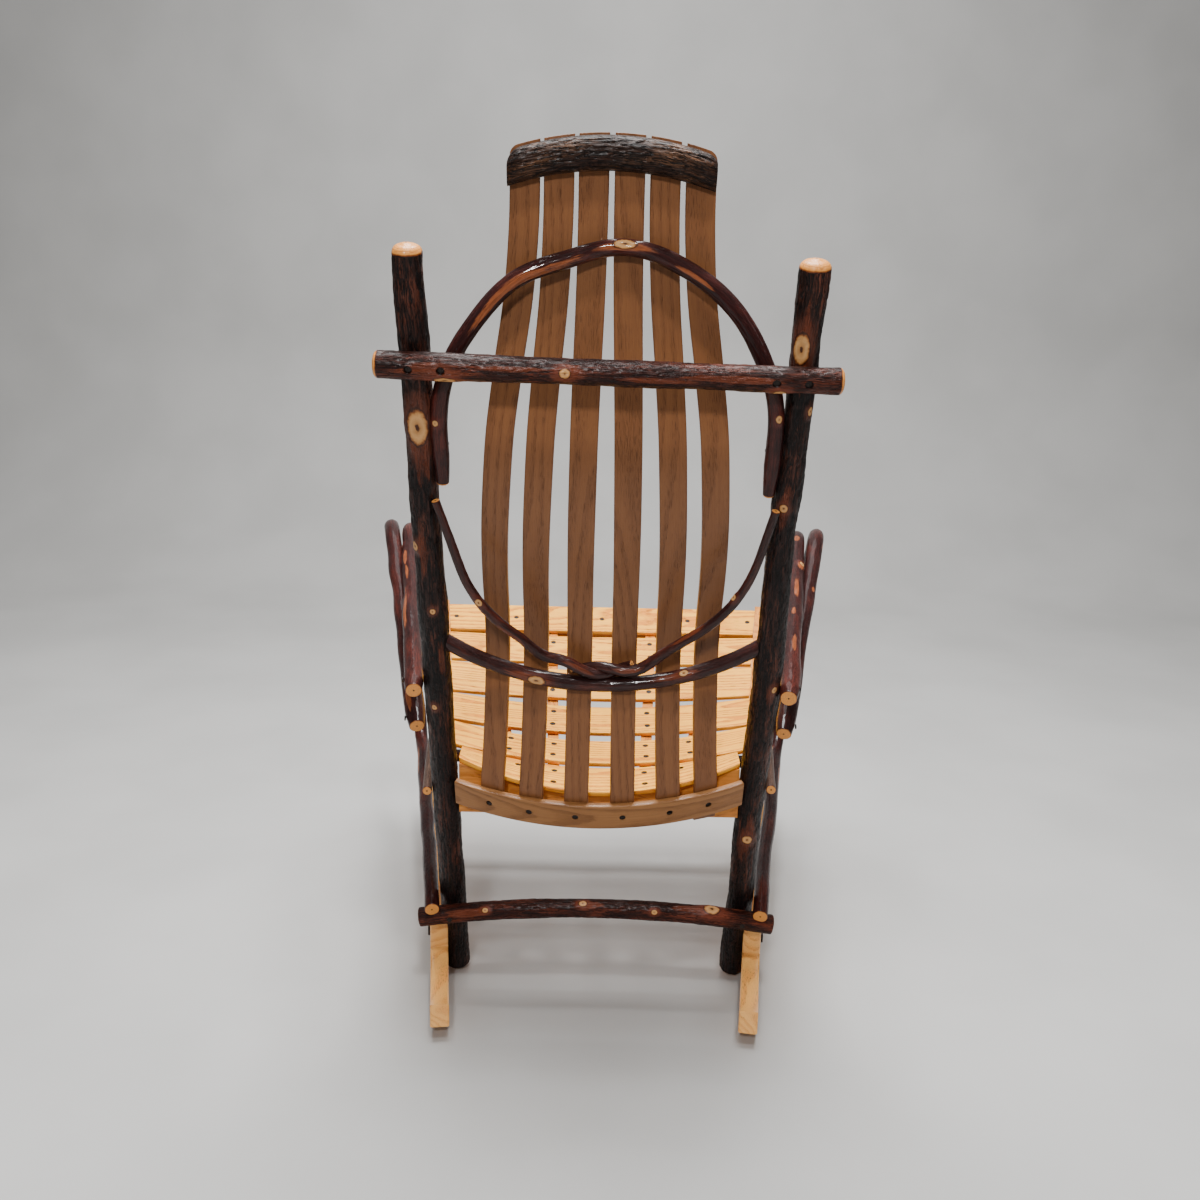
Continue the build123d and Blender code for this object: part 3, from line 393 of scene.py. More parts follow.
stick_fields = {"Place": "unbent", "Knot": "knot", "Peel": "peel", "Pit_screw_and_shade": "pit_screw_and_shade"}
post_bark = varnished("post_bark", bark,
                      {"Furrows": 210.0, "Depth": 1.0, "Worn": -0.10, "Plate": rgb(40, 19, 14),
                       "Crest": rgb(102, 54, 38), "Furrow": rgb(6, 3, 3),
                       "Inner": rgb(104, 48, 26)},
                      stick_fields, coat=0.18, coat_roughness=0.2, relief=0.0022, specular=0.15)
pole_end = varnished("pole_end", rings,
                     {"Light": rgb(222, 148, 70), "Dark": rgb(176, 100, 42),
                      "Bark": rgb(30, 14, 10), "Spacing": 0.0019},
                     {"Place": "unbent", "Core": "core"}, coat=0.25, relief=0.0002,
                     specular=0.2)


def bent_line(corners, radii=(), step=1.5, ease=0.0):
    """Straight runs joined by tangent arcs, read off at even steps. ease is the length over which
    the run and the arc melt together, as they do where a green stick is bent by hand."""
    c = np.array(corners, float)
    runs = [c[:1]]
    for i, radius in enumerate(radii, 1):
        a, b = c[i - 1] - c[i], c[i + 1] - c[i]
        a, b = a / np.linalg.norm(a), b / np.linalg.norm(b)
        half = np.arccos(a @ b) / 2
        near, far = c[i] + a * radius / np.tan(half), c[i] + b * radius / np.tan(half)
        centre = c[i] + (a + b) / np.linalg.norm(a + b) * radius / np.sin(half)
        way = pi - 2 * half
        t = np.linspace(0, 1, 60)[:, None]
        runs.append(centre + ((near - centre) * np.sin((1 - t) * way)
                              + (far - centre) * np.sin(t * way)) / np.sin(way))
    points = np.vstack(runs + [c[-1:]])
    s = np.r_[0, np.cumsum(np.linalg.norm(np.diff(points, axis=0), axis=1))]
    at = np.linspace(0, s[-1], int(s[-1] / step) + 1)
    line = np.stack([np.interp(at, s, points[:, k]) for k in range(3)], 1)
    reach = int(ease / step / 2)
    if reach:
        before = 2 * line[0] - line[reach:0:-1]
        after = 2 * line[-1] - line[-2:-reach - 2:-1]
        longer = np.vstack([before, line, after])
        total = np.cumsum(np.vstack([np.zeros((1, 3)), longer]), axis=0)
        line = (total[2 * reach + 1:] - total[:-2 * reach - 1]) / (2 * reach + 1)
    return line


def ripple(draw, s, phi, waves, turns, length):
    """A smooth random field on a stick, about -1 to 1: a sum of cosines that run whole turns round
    it and have wavelengths of at least the given length along it."""
    field = np.zeros((len(s), len(phi)))
    for _ in range(waves):
        whole, pace = draw.integers(0, turns + 1), draw.normal(0, pi / length)
        shift = draw.uniform(0, 2 * pi)
        field += np.cos(whole * phi[None] + pace * s[:, None] + shift)
    return field / sqrt(waves)


def stick(name, line, towards, radius, finish, seed, relief=0.4, sway=1.0, knots=(), peels=(),
          pits=(), ends=("sawn", "sawn"), around=72, girth=((0, 1), (1, 1)), dome=11.0):
    """A round stick carried along its centre line: r(s, phi) = radius + slow swelling - furrows +
    knots. phi is measured from the direction towards. Knots and peels are (distance along, angle
    in degrees, half length, half width[, rise]); pits are (distance along, angle, radius, depth).
    girth gives the natural taper as (share of the length, share of the radius). Each end is sawn
    square or domed: cut wood that rises from the line's end and shrinks row by row to a tip."""
    draw = np.random.default_rng(seed)
    step = np.linalg.norm(np.diff(line, axis=0), axis=1)
    s = np.r_[0, np.cumsum(step)]
    total = s[-1]
    t = np.gradient(line, s, axis=0)
    t = t / np.linalg.norm(t, axis=1)[:, None]
    across = np.cross(t, np.array(towards, float))
    across = across / np.linalg.norm(across, axis=1)[:, None]
    up = np.cross(across, t)
    phi = np.linspace(-pi, pi, around, endpoint=False)
    if pits:  # closer columns along the line of screw holes
        phi = np.unique(np.r_[phi, np.linspace(-0.34, 0.34, 27)])
    # the centre line drifts a little, but not at its two ends
    drift = ripple(draw, s, np.zeros(2), 9, 0, 110)
    fade = np.minimum(1, np.minimum(s, total - s) / 60)
    line = line + (drift[:, :1] * up + drift[:, 1:] * across * 0.7) * sway * fade[:, None]
    # the radius: taper and slow swelling, then furrows, then fine lumps
    taper = np.interp(s / total, *np.array(girth, float).T)[:, None]
    thick = radius * taper * (1 + 0.035 * ripple(draw, s, np.zeros(1), 8, 0, 90)
                      + 0.02 * ripple(draw, s, phi, 10, 2, 80)) - 0.15
    seams = ripple(draw, s, phi, 46, 15, 34)
    thick = thick - relief * np.clip(1 - np.abs(seams) / 0.28, 0, 1)
    thick = thick + relief * 0.35 * ripple(draw, s, phi, 40, 13, 12)
    rim = np.full(thick.shape, 9.0)
    for at, angle, half_length, half_width, *rise in knots:
        turn = (phi - radians(angle) + pi) % (2 * pi) - pi
        away = np.sqrt(((s[:, None] - at) / half_length) ** 2
                       + (turn[None] * radius / half_width) ** 2)
        rim = np.minimum(rim, away)
        lift = rise[0] if rise else 0.8
        thick = thick + lift * np.exp(-(away / 1.5) ** 4) - lift * 0.35 * np.exp(-(away / 0.5) ** 2)
    peel = np.zeros(thick.shape)
    for at, angle, half_length, half_width in peels:
        turn = (phi - radians(angle) + pi) % (2 * pi) - pi
        away = ((s[:, None] - at) / half_length) ** 2 + (turn[None] * radius / half_width) ** 2
        peel = np.maximum(peel, np.exp(-away ** 1.5) * 0.95)
    # screw holes are sunk in the stick, and their mask paints them near-black: the dark screw head
    # and painted shade in the hole
    pit_screw_and_shade = np.zeros(thick.shape)
    for at, angle, pit_radius, depth in pits:
        turn = (phi - radians(angle) + pi) % (2 * pi) - pi
        away = np.sqrt((s[:, None] - at) ** 2 + (turn[None] * radius) ** 2)
        inside = np.clip((pit_radius + 0.35 - away) / 0.7, 0, 1)
        thick = thick - depth * inside
        pit_screw_and_shade = np.maximum(pit_screw_and_shade, np.clip((pit_radius + 0.9 - away) / 0.8, 0, 1))
    around_axis = (np.cos(phi)[None, :, None] * up[:, None] + np.sin(phi)[None, :, None]
                   * across[:, None])
    rows = line[:, None] + thick[..., None] * around_axis
    flat = np.stack([thick * np.cos(phi), thick * np.sin(phi),
                     np.broadcast_to(s[:, None], thick.shape) + 1700.0 * (seed % 97)], -1)
    # rows of cut wood close each end; core falls from 1 at the bark to 0 at the pith
    core, finish_rows, tips, tip_flat = np.ones(thick.shape), [0] * (len(s) - 1), [], []
    for last, kind in ((False, ends[0]), (True, ends[1])):
        spot, way = (line[-1], t[-1]) if last else (line[0], -t[0])
        body = 1.0 if last else -1.0
        if kind == "domed":
            a = np.linspace(0.0, pi / 2, 13)[1:]
            shrink = np.r_[1 - 0.52 * (1 - np.cos(a)), 0.36, 0.22, 0.1]
            rise = np.r_[0.82 * np.sin(a), 0.91, 0.96, 0.99] * dome
            skirt = np.r_[0.97, np.linspace(0.9, 0.3, 11), 0.25, 0.16, 0.08]
        else:
            shrink = np.array([0.985, 0.955, 0.90, 0.72, 0.48, 0.22])
            rise = np.array([0.5, 1.0, 1.25, 1.3, 1.3, 1.3])
            skirt = shrink
        ring = rows[-1] - spot if last else rows[0] - spot
        caps = spot + ring[None] * shrink[:, None, None] + way * rise[:, None, None]
        plan = flat[-1] if last else flat[0]
        cap_flat = plan[None] * np.r_[1, 1, 0] * shrink[:, None, None] \
            + plan[None] * np.r_[0, 0, 1] + np.r_[0, 0, body] * rise[:, None, None]
        cap_core = np.broadcast_to(skirt[:, None], (len(shrink), len(phi)))
        tip = spot + way * (rise[-1] + (0.01 * dome if kind == "domed" else 0))
        away = [np.full(cap_core.shape, 9.0), np.zeros(cap_core.shape), np.zeros(cap_core.shape)]
        blocks = [(rows, caps), (flat, cap_flat), (core, cap_core), (rim, away[0]),
                  (peel, away[1]), (pit_screw_and_shade, away[2])]
        if last:
            rows, flat, core, rim, peel, pit_screw_and_shade = (np.concatenate(pair) for pair in blocks)
            finish_rows = finish_rows + [1] * len(shrink)
        else:
            rows, flat, core, rim, peel, pit_screw_and_shade = (np.concatenate([cap[::-1], body_rows])
                                                for body_rows, cap in blocks)
            finish_rows = [1] * len(shrink) + finish_rows
        tips.append(tip)
        tip_flat.append(np.r_[0, 0, plan[0, 2] + body * rise[-1]])
    fields = {"unbent": (flat, tip_flat), "core": (core, [0, 0]), "knot": (rim, [9, 9]),
              "peel": (peel, [0, 0]), "pit_screw_and_shade": (pit_screw_and_shade, [0, 0])}
    return surface(name, rows, np.array(tips), fields, [finish, pole_end], finish_rows, crease=60)


lean_y, lean_z = sin(post_lean), cos(post_lean)
norm_y, norm_z = lean_z, -lean_y


def post_y(z):
    return post_foot_y + (z - post_foot_z) * tan(post_lean)


post_knots = {
    "left": [(860, 0, 22.5, 13, 1.8), (711, -50, 7, 6, 1.2), (627, 8, 4.5, 4, 0.6),
             (484, -12, 5, 4, 0.7), (300, -150, 9, 7, 1.2), (940, 150, 8, 6, 1.0)],
    "right": [(954, -24, 18, 10.5, 1.6), (885, 44, 6, 5, 0.8), (770, -16, 6, 6, 0.9),
              (521, 28, 5.5, 4.5, 0.7), (270, -4, 8, 7, 1.4), (640, 160, 10, 7, 1.2)]}
post_peels = {
    "left": [(835, 6, 60, 15), (700, -20, 50, 10), (985, 40, 22, 8), (560, 30, 35, 7)],
    "right": [(955, -20, 62, 13), (770, -10, 40, 11), (265, -6, 70, 14), (520, 15, 30, 9)]}
post_girth = {"left": ((0, 1.05), (0.1, 1.04), (0.5, 1.0), (0.7, 0.95), (1, 0.91)),
              "right": ((0, 1.05), (0.1, 1.04), (0.5, 1.01), (0.7, 0.93), (1, 0.86))}
post_dome = 11.2
for side, sgn, length, seed in (("left", 1, 1050.0, 101), ("right", -1, 1043.0, 102)):
    top = length - post_dome
    line = bent_line([(sgn * post_x, post_foot_y, post_foot_z),
                      (sgn * post_x, post_foot_y + top * lean_y, post_foot_z + top * lean_z)])
    post = stick(f"post_{side}_pole", line, (0, norm_y, norm_z), post_r, post_bark, seed,
                 relief=0.75, sway=1.3, knots=post_knots[side], peels=post_peels[side],
                 ends=("sawn", "domed"), around=96, girth=post_girth[side])
    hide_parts(f"back_post_{side}")

# ---- stretchers ----------------------------------------------------------------------------------
# Two rough poles tie the sides together low down: the rear one is lapped behind the posts and
# nailed, bowed slightly upward; the front one lies behind the front legs.
rough_bark = varnished("rough_bark", bark,
                       {"Furrows": 280.0, "Depth": 0.85, "Worn": -0.02, "Plate": rgb(58, 24, 16),
                        "Crest": rgb(122, 58, 38), "Furrow": rgb(12, 5, 4),
                        "Inner": rgb(112, 54, 32)},
                       stick_fields, coat=0.12, coat_roughness=0.24, relief=0.0009, specular=0.12)
stretcher_half, stretcher_z, stretcher_bow, stretcher_r = 247.0, 121.0, 13.0, 13.5
crown_lift, lap_gap = 6.0, 1.3
# a sawn end stands this far past its line, and sticks that lie together keep this clearance
sawn_end, clear = 1.4, 0.3


def stretcher_rise(x):
    return stretcher_z + stretcher_bow * (1 - (x / stretcher_half) ** 2)


stretcher_y = post_y(stretcher_rise(post_x)) + (post_r + stretcher_r + lap_gap) / lean_z
line = arc_through((sawn_end - stretcher_half, stretcher_y, stretcher_z),
                   (0, stretcher_y, stretcher_rise(0) + crown_lift),
                   (stretcher_half - sawn_end, stretcher_y, stretcher_z), 330)
rear_stretcher = stick("rear_stretcher_pole", line, (0, 1, 0), stretcher_r, rough_bark, 111,
                       relief=0.6, knots=[(265, 56, 6.5, 5), (87, 70, 12, 9, 1.5),
                                          (166, 20, 5, 4), (400, 30, 5, 4)],
                       peels=[(48, 112, 14, 7), (255, 50, 26, 7), (420, 20, 40, 8),
                              (120, 60, 30, 6)])
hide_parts("rear_stretcher")

# the arm crosses the post, clears the top of the hoop and ends as a leg inside the rocker
arm_r, arm_cross_z = 12.0, 497.0
leg_foot_y, leg_foot_rise, leg_foot_in = -285.0, 6.0, 4.0
hoop_clearing = (307.8, -172.0, 612.0)
touch_x = post_x + post_r + arm_r + clear
leg_foot_z = rocker_bottom(leg_foot_y) + leg_foot_rise
leg_foot_x = (rocker_x(leg_foot_y) - (rocker_thick / 2 + arm_r + clear) / cos(rocker_toe)
              - leg_foot_in)
crossing = np.array((touch_x + 0.5, post_y(arm_cross_z), arm_cross_z))
to_foot = crossing - (leg_foot_x, leg_foot_y, leg_foot_z)
to_loop = crossing - hoop_clearing
slope_y, slope_z = np.linalg.solve([to_foot[1:], to_loop[1:]], [to_foot[0], to_loop[0]])


def arm_x(y, z):
    """The splayed plane that each arm and its leg lie in."""
    return crossing[0] + slope_y * (y - crossing[1]) + slope_z * (z - crossing[2])


arm_rear, arm_corner = (282.0, 491.0), (-271.0, 645.3)
front_z, front_r, front_overhang = 200.0, 11.0, 24.0
front_leg_y = (leg_foot_y + (front_z - leg_foot_z) * (arm_corner[0] - leg_foot_y)
               / (arm_corner[1] - leg_foot_z))
front_half = arm_x(front_leg_y, front_z) + front_overhang - sawn_end
front_y = front_leg_y + arm_r + front_r + clear
line = bent_line([(-front_half, front_y, front_z), (front_half, front_y, front_z)])
front_stretcher = stick("front_stretcher_pole", line, (0, 1, 0), front_r, rough_bark, 112,
                        relief=0.5, knots=[(150, 40, 5, 4), (380, -120, 7, 5, 1.0)],
                        peels=[(150, 40, 30, 6), (470, 170, 50, 8), (300, -90, 40, 7)])
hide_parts("front_stretcher")

# ---- arms and side hoops -------------------------------------------------------------------------
# Each side has two thumb-thick saplings bent green: the arm loops over and comes down as the front
# leg, and the hoop rises under it, loops outside it and runs back low to the rear stretcher.
smooth_bark = varnished("smooth_bark", bark,
                        {"Furrows": 330.0, "Depth": 0.5, "Worn": -0.01, "Plate": rgb(54, 20, 18),
                         "Crest": rgb(88, 36, 28), "Furrow": rgb(14, 6, 6),
                         "Inner": rgb(150, 82, 46)},
                        stick_fields, coat=0.38, coat_roughness=0.08, relief=0.0006, specular=0.08)
arm_points = [(arm_x(y, z), y, z) for y, z in
              (arm_rear, arm_corner, (leg_foot_y, leg_foot_z))]
arm_details = {
    "left": ([(401, 8, 5, 5), (705, 100, 7, 5), (900, -60, 6, 5)],
             [(347, 62, 26, 5), (449, 8, 18, 6), (197, 52, 75, 4), (371, 10, 9, 5),
              (300, 70, 30, 4), (560, 60, 40, 6), (820, 0, 60, 6)]),
    "right": ([(356, -52, 6, 5.5, 1.0), (372, -12, 4, 4), (640, 120, 7, 5), (950, 0, 6, 5)],
              [(440, -100, 12, 6), (273, -92, 34, 5), (206, -104, 15, 5), (350, -50, 14, 7),
               (120, -80, 26, 4), (600, 20, 50, 6), (800, -80, 60, 6)])}
hoop_points = [(touch_x + 0.4, post_y(431.0) + 4, 431.0), (355.0, -233.0, 657.0),
               (339.0, -436.0, 190.0),
               (touch_x - 5.3, stretcher_y + 6,
                stretcher_rise(226.0) + stretcher_r + arm_r + clear)]
hoop_details = {
    "left": ([(985, -4, 5, 5, 1.0), (700, 120, 6, 5), (250, -160, 6, 5)],
             [(47, 60, 30, 6), (430, -10, 40, 6), (620, 10, 90, 6), (1080, -30, 60, 5),
              (850, 100, 50, 6)]),
    "right": ([(610, 40, 6, 5), (1009, 144, 4, 4), (860, -20, 6, 5)],
              [(422, -4, 22, 7), (330, -8, 14, 5), (300, -50, 8, 4), (700, 0, 80, 6),
               (1100, 30, 50, 5), (540, -100, 50, 6)])}


def square_to(points):
    """The direction square to the plane through the first three corners of a bent stick."""
    p = np.array(points)
    way = np.cross(p[1] - p[0], p[2] - p[1])
    return way / np.linalg.norm(way) * np.sign(way[0])


# the low end of each hoop settles down and back as it nears the stretcher
settle_from, settle_run, settle_down, settle_back = 70.0, 76.0, 9.0, 6.0
low_part = 250.0
for side, sgn in (("left", 1), ("right", -1)):
    flip = np.array((sgn, 1, 1))
    knots, peels = arm_details[side]
    arm = stick(f"arm_{side}_sapling", bent_line(np.array(arm_points) * flip, [105.0], ease=60),
                square_to(arm_points) * flip, arm_r, smooth_bark, 120 + sgn, relief=0.22,
                sway=1.2, knots=knots, peels=peels,
                girth=((0, 0.88), (0.015, 1.05), (0.06, 1.08), (0.12, 1.0), (0.6, 1.03), (1, 0.96)))
    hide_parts(f"arm_{side}")
    knots, peels = hoop_details[side]
    line = bent_line(np.array(hoop_points) * flip, [118.0, 78.0], ease=60)
    settled = np.clip((line[:, 1] - stretcher_y + settle_from) / settle_run, 0, 1)
    settled = settled * (line[:, 2] < low_part)
    line[:, 2] -= settle_down * settled ** 2
    line[:, 1] += settle_back * settled
    hoop = stick(f"side_hoop_{side}_sapling", line, square_to(hoop_points) * flip, arm_r,
                 smooth_bark, 130 + sgn, relief=0.22, sway=0.9, knots=knots, peels=peels,
                 girth=((0, 0.86), (0.015, 1.06), (0.06, 1.1), (0.12, 1.0), (0.6, 1.0), (1, 0.88)))
    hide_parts(f"side_hoop_{side}")

# ---- side sticks under the seat ------------------------------------------------------------------
# A finger-thick greyish stick on each side runs from outside the post to the front leg.
grey_bark = varnished("grey_bark", bark,
                      {"Furrows": 380.0, "Depth": 0.5, "Worn": 0.05, "Plate": rgb(98, 74, 62),
                       "Crest": rgb(140, 112, 94), "Furrow": rgb(44, 30, 26),
                       "Inner": rgb(150, 96, 58)},
                      stick_fields, coat=0.2, coat_roughness=0.2, relief=0.0006, specular=0.2)
stick_r, post_bite = 6.25, 0.4
post_at = post_x + post_r + stick_r - post_bite
leg_at = arm_x(-279.0, 385.0) - (arm_r + stick_r + clear)
for side, sgn, rear_z in (("left", 1, 330.2), ("right", -1, 342.2)):
    line = bent_line([(sgn * post_at, 211.6, rear_z), (sgn * leg_at, -294.6, 384.8)])
    side_stick = stick(f"seat_side_stick_{side}_twig", line, (0, 0, 1), stick_r, grey_bark,
                       140 + sgn, relief=0.2, sway=0.6, around=48,
                       knots=[(120, 40, 5, 4, 0.8), (330, -100, 4, 3)])
    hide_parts(f"seat_side_stick_{side}")

# ---- seat frame ----------------------------------------------------------------------------------
# Planed oak boards on edge: a rear rail tenoned into the posts, a front rail, two side rails and
# four bearers that the slats are screwed to. These keep their sawn shapes.
board_finishes = {}
for label, turn in (("lengthwise", (radians(90), 0, 0)), ("crosswise", (0, radians(-90), 0))):
    board_finishes[label] = varnished(
        f"frame_oak_{label}", oak,
        {"Light": rgb(220, 144, 66), "Dark": rgb(174, 102, 42), "Pore": rgb(96, 60, 32),
         "Rings": 20.0, "Contrast": 0.6}, {}, coat=0.1, turn=turn, relief=0.0003, specular=0.15)
for label, boards in (("lengthwise", ("seat_bearer_1", "seat_bearer_2", "seat_bearer_3",
                                      "seat_bearer_4", "seat_side_rail_left",
                                      "seat_side_rail_right")),
                      ("crosswise", ("seat_rear_rail", "seat_front_rail"))):
    for node in boards:
        nodes[node].data.materials.clear()
        nodes[node].data.materials.append(board_finishes[label])

# ---- seat slats ----------------------------------------------------------------------------------
# Six thin oak boards, laid across the bearers and dished toward the rear; each is held by dark
# countersunk screws. The last is sawn to the curve of the lower back rail.
seat_oak = varnished("seat_oak", oak,
                     {"Light": rgb(255, 184, 60), "Dark": rgb(208, 118, 34),
                      "Pore": rgb(120, 74, 36), "Rings": 26.0, "Contrast": 0.75},
                     {"Place": "unbent", "Pit_screw_and_shade": "pit_screw_and_shade"}, coat=0.05, coat_roughness=0.2,
                     relief=0.0004, specular=0.15)
seat_width, seat_thick, slat_gap, rear_slat_half = 70.0, 7.0, 0.9, 185.2
seat_gaps = (15.0, 18.0, 20.0, 26.0, 15.0)
dish_front, dish_rise, dish_half = -190.0, 0.085, 200.0
front_screws, screw_off = (0.0, 143.0, -143.0, 243.0, -243.0), 17.0
seat_rear_y, seat_rear_z = 232.0, 342.0
flat_slope, front_slope = radians(5.0), radians(21.8)
flat_run, bend_run = 150.0, 130.0
rail_radius, side_rail_thick, side_rail_y, side_rail_run = 493.0, 25.4, 190.0, 471.0
bearer_ends, bearer_y, bearer_run = ((82.0, 61.0), (190.0, 112.0)), 182.0, 411.0


def seat_point(s):
    """Centre-line point at distance s forward of the seat's rear edge."""
    radius = bend_run / (front_slope - flat_slope)
    a = min(s, flat_run)
    y, z = seat_rear_y - a * cos(flat_slope), seat_rear_z + a * sin(flat_slope)
    slope = flat_slope + min(max(s - flat_run, 0), bend_run) / radius
    y -= radius * (sin(slope) - sin(flat_slope))
    z += radius * (cos(flat_slope) - cos(slope))
    c = max(s - flat_run - bend_run, 0)
    return y - c * cos(front_slope), z + c * sin(front_slope)


def side_rail_x(y):
    """Middle of a side rail's thickness: it runs from the post to the inside of the front leg."""
    front_x = arm_x(-281.0, 425.0) - arm_r - clear - side_rail_thick / 2
    return post_x + 3 + (front_x - post_x - 3) * (side_rail_y - y) / side_rail_run


def bearer_x(pair, y):
    """Middle of a bearer's thickness: each outer or inner pair opens toward the front."""
    front_x, rear_x = bearer_ends[pair]
    return rear_x + (front_x - rear_x) * (bearer_y - y) / bearer_run


def near(values, spots, half=4.6, pieces=24):
    """The grid values with a close-set band about each spot, so that a screw hole is round."""
    fine = [spot + np.linspace(-half, half, pieces) for spot in spots]
    return np.unique(np.round(np.concatenate([values] + fine), 3))


def plank(name, rows_of, length, width, thick, finish, offset, pits=(), eased=1.8, pit_depth=2.2,
          pit_radius=3.7, steps=120):
    """A thin board carried along a line. Its cross-section is a rectangle with rounded long edges,
    round holes are sunk in the outer face, and rows_of puts (along, across, through) in place."""
    s = near(np.linspace(-length / 2, length / 2, steps), sorted({round(p[0], 2) for p in pits}))
    s = s[(s >= -length / 2) & (s <= length / 2)]
    flat_half = width / 2 - eased
    u_face = near(np.linspace(-flat_half, flat_half, 14), sorted({p[1] for p in pits}))
    u_face = u_face[np.abs(u_face) <= flat_half]
    # once round the section: outer face, one long edge, inner face, the other long edge
    a = np.linspace(0, pi / 2, 6)[1:-1]
    u = np.r_[u_face, flat_half + eased * np.sin(a), width / 2, flat_half + eased * np.cos(a),
              np.linspace(flat_half, -flat_half, 10), -flat_half - eased * np.sin(a), -width / 2,
              -flat_half - eased * np.cos(a)]
    v = np.r_[u_face * 0, eased * (np.cos(a) - 1), -thick / 2, -thick + eased * (1 - np.sin(a)),
              np.full(10, -thick), -thick + eased * (1 - np.cos(a)), -thick / 2,
              eased * (np.sin(a) - 1)]
    # each end stands half a millimetre past the line, in three rows that shrink to its middle
    ends = np.r_[[-length / 2] * 3, s, [length / 2] * 3]
    shrink = np.r_[0.5, 0.93, 0.985, np.ones(len(s)), 0.985, 0.93, 0.5]
    over = np.r_[-0.5, -0.5, -0.3, s * 0, 0.3, 0.5, 0.5]
    grid_s = np.broadcast_to((ends + over)[:, None], (len(ends), len(u)))
    grid_u = shrink[:, None] * u[None]
    grid_v = -thick / 2 + shrink[:, None] * (v[None] + thick / 2)
    # the sunk holes get a mask that paints them near-black: the dark screw head and painted shade
    # in the hole
    pit_screw_and_shade = np.zeros(grid_s.shape)
    top = (v[None] > -0.01) & (shrink[:, None] == 1)
    for at, off, in pits:
        away = np.hypot(grid_s - at, grid_u - off)
        inside = np.clip((pit_radius + 0.25 - away) / 0.5, 0, 1) * top
        grid_v = grid_v - pit_depth * inside
        pit_screw_and_shade = np.maximum(pit_screw_and_shade, np.clip((pit_radius + 0.5 - away) / 0.6, 0, 1) * top)
    rows = rows_of(grid_s, grid_u, grid_v)
    tip_s = np.array([[ends[0] - 0.5], [ends[-1] + 0.5]])
    tips = rows_of(tip_s, tip_s * 0, tip_s * 0 - thick / 2)[:, 0]
    unbent = np.stack([grid_u, grid_v, grid_s + offset], -1)
    tip_flat = np.stack([tip_s[:, 0] * 0, tip_s[:, 0] * 0 - thick / 2, tip_s[:, 0] + offset], -1)
    return surface(name, rows, tips, {"unbent": (unbent, tip_flat), "pit_screw_and_shade": (pit_screw_and_shade, [0, 0])},
                   [finish], crease=35)


rear_edge = 6 * seat_width + sum(seat_gaps)
for k in range(6):
    rear_edge -= seat_width
    ya, za = seat_point(rear_edge)
    yb, zb = seat_point(rear_edge + seat_width)
    slope = atan2(zb - za, ya - yb)
    rise = max(dish_rise * (seat_point(rear_edge + seat_width / 2)[0] - dish_front), 0)
    y, z = (ya + yb) / 2, (za + zb) / 2
    if k < 5:
        rear_edge -= seat_gaps[k]
    spots, screw_rows = front_screws, (0.0,)
    if k > 0:
        spots = [sgn * bearer_x(pair, y) for pair in (0, 1) for sgn in (1, -1)]
        screw_rows = (-screw_off, screw_off)
    pits = [(x, row) for x in spots for row in screw_rows
            if k < 5 or row < 0 or abs(x) < bearer_ends[0][0]]
    half, taper = rear_slat_half, 0.0
    if k < 5:
        half = side_rail_x(y) - side_rail_thick / 2 - slat_gap
        taper = (side_rail_x(y - seat_width / 2) - side_rail_x(y + seat_width / 2)) / seat_width

    def lay(s, u, v, half=half, taper=taper, rise=rise, slope=slope, y=y, z=z, last=(k == 5)):
        """Across runs rearward and down the seat's slope; the ends follow the side rails. The last
        slat's rear edge is sawn to the arc of the lower back rail."""
        x = s * (1 - taper * u / half * np.abs(s / half) ** 6)
        sawn = 1 - x ** 2 / (2 * rail_radius) / seat_width
        u = np.where(last, -seat_width / 2 + (seat_width / 2 + u) * sawn, u)
        lift = v + rise * (x / dish_half) ** 2
        return np.stack([x, y + u * cos(slope) + lift * sin(slope),
                         z - u * sin(slope) + lift * cos(slope)], -1)

    slat = plank(f"seat_slat_{k + 1}_board", lay, 2 * half, seat_width, seat_thick, seat_oak,
                 2100.0 * (k + 1), pits=pits, steps=150)
    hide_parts(f"seat_slat_{k + 1}")

# ---- screws --------------------------------------------------------------------------------------
# Dark blued screws sunk in every board and in the cross bar, and the nails and bolts of the frame.
steel, take, give = effect("blued_steel", {"Place": "Vector", "Light": "Color", "Dark": "Color"},
                           {"Color": "Color", "Roughness": "Float", "Height": "Float"})
grime = noise(steel, take["Place"], 900, 4, 0.65)
steel.links.new(mix(steel, ramp(steel, grime, 0.35, 0.7), take["Dark"], take["Light"]),
                give["Color"])
steel.links.new(ramp(steel, grime, 0.2, 0.8, 0.35, 0.6), give["Roughness"])
steel.links.new(grime, give["Height"])
blued = varnished("blued_steel", steel, {"Light": rgb(62, 54, 50), "Dark": rgb(24, 20, 20)}, {},
                  coat=0.1, relief=0.0001)
blued.node_tree.nodes["Principled BSDF"].inputs["Metallic"].default_value = 0.85
for node in ("seat_screws", "rail_screws", "bar_screws", "crest_screws", "frame_nails",
             "frame_bolts"):
    nodes[node].data.materials.clear()
    nodes[node].data.materials.append(blued)

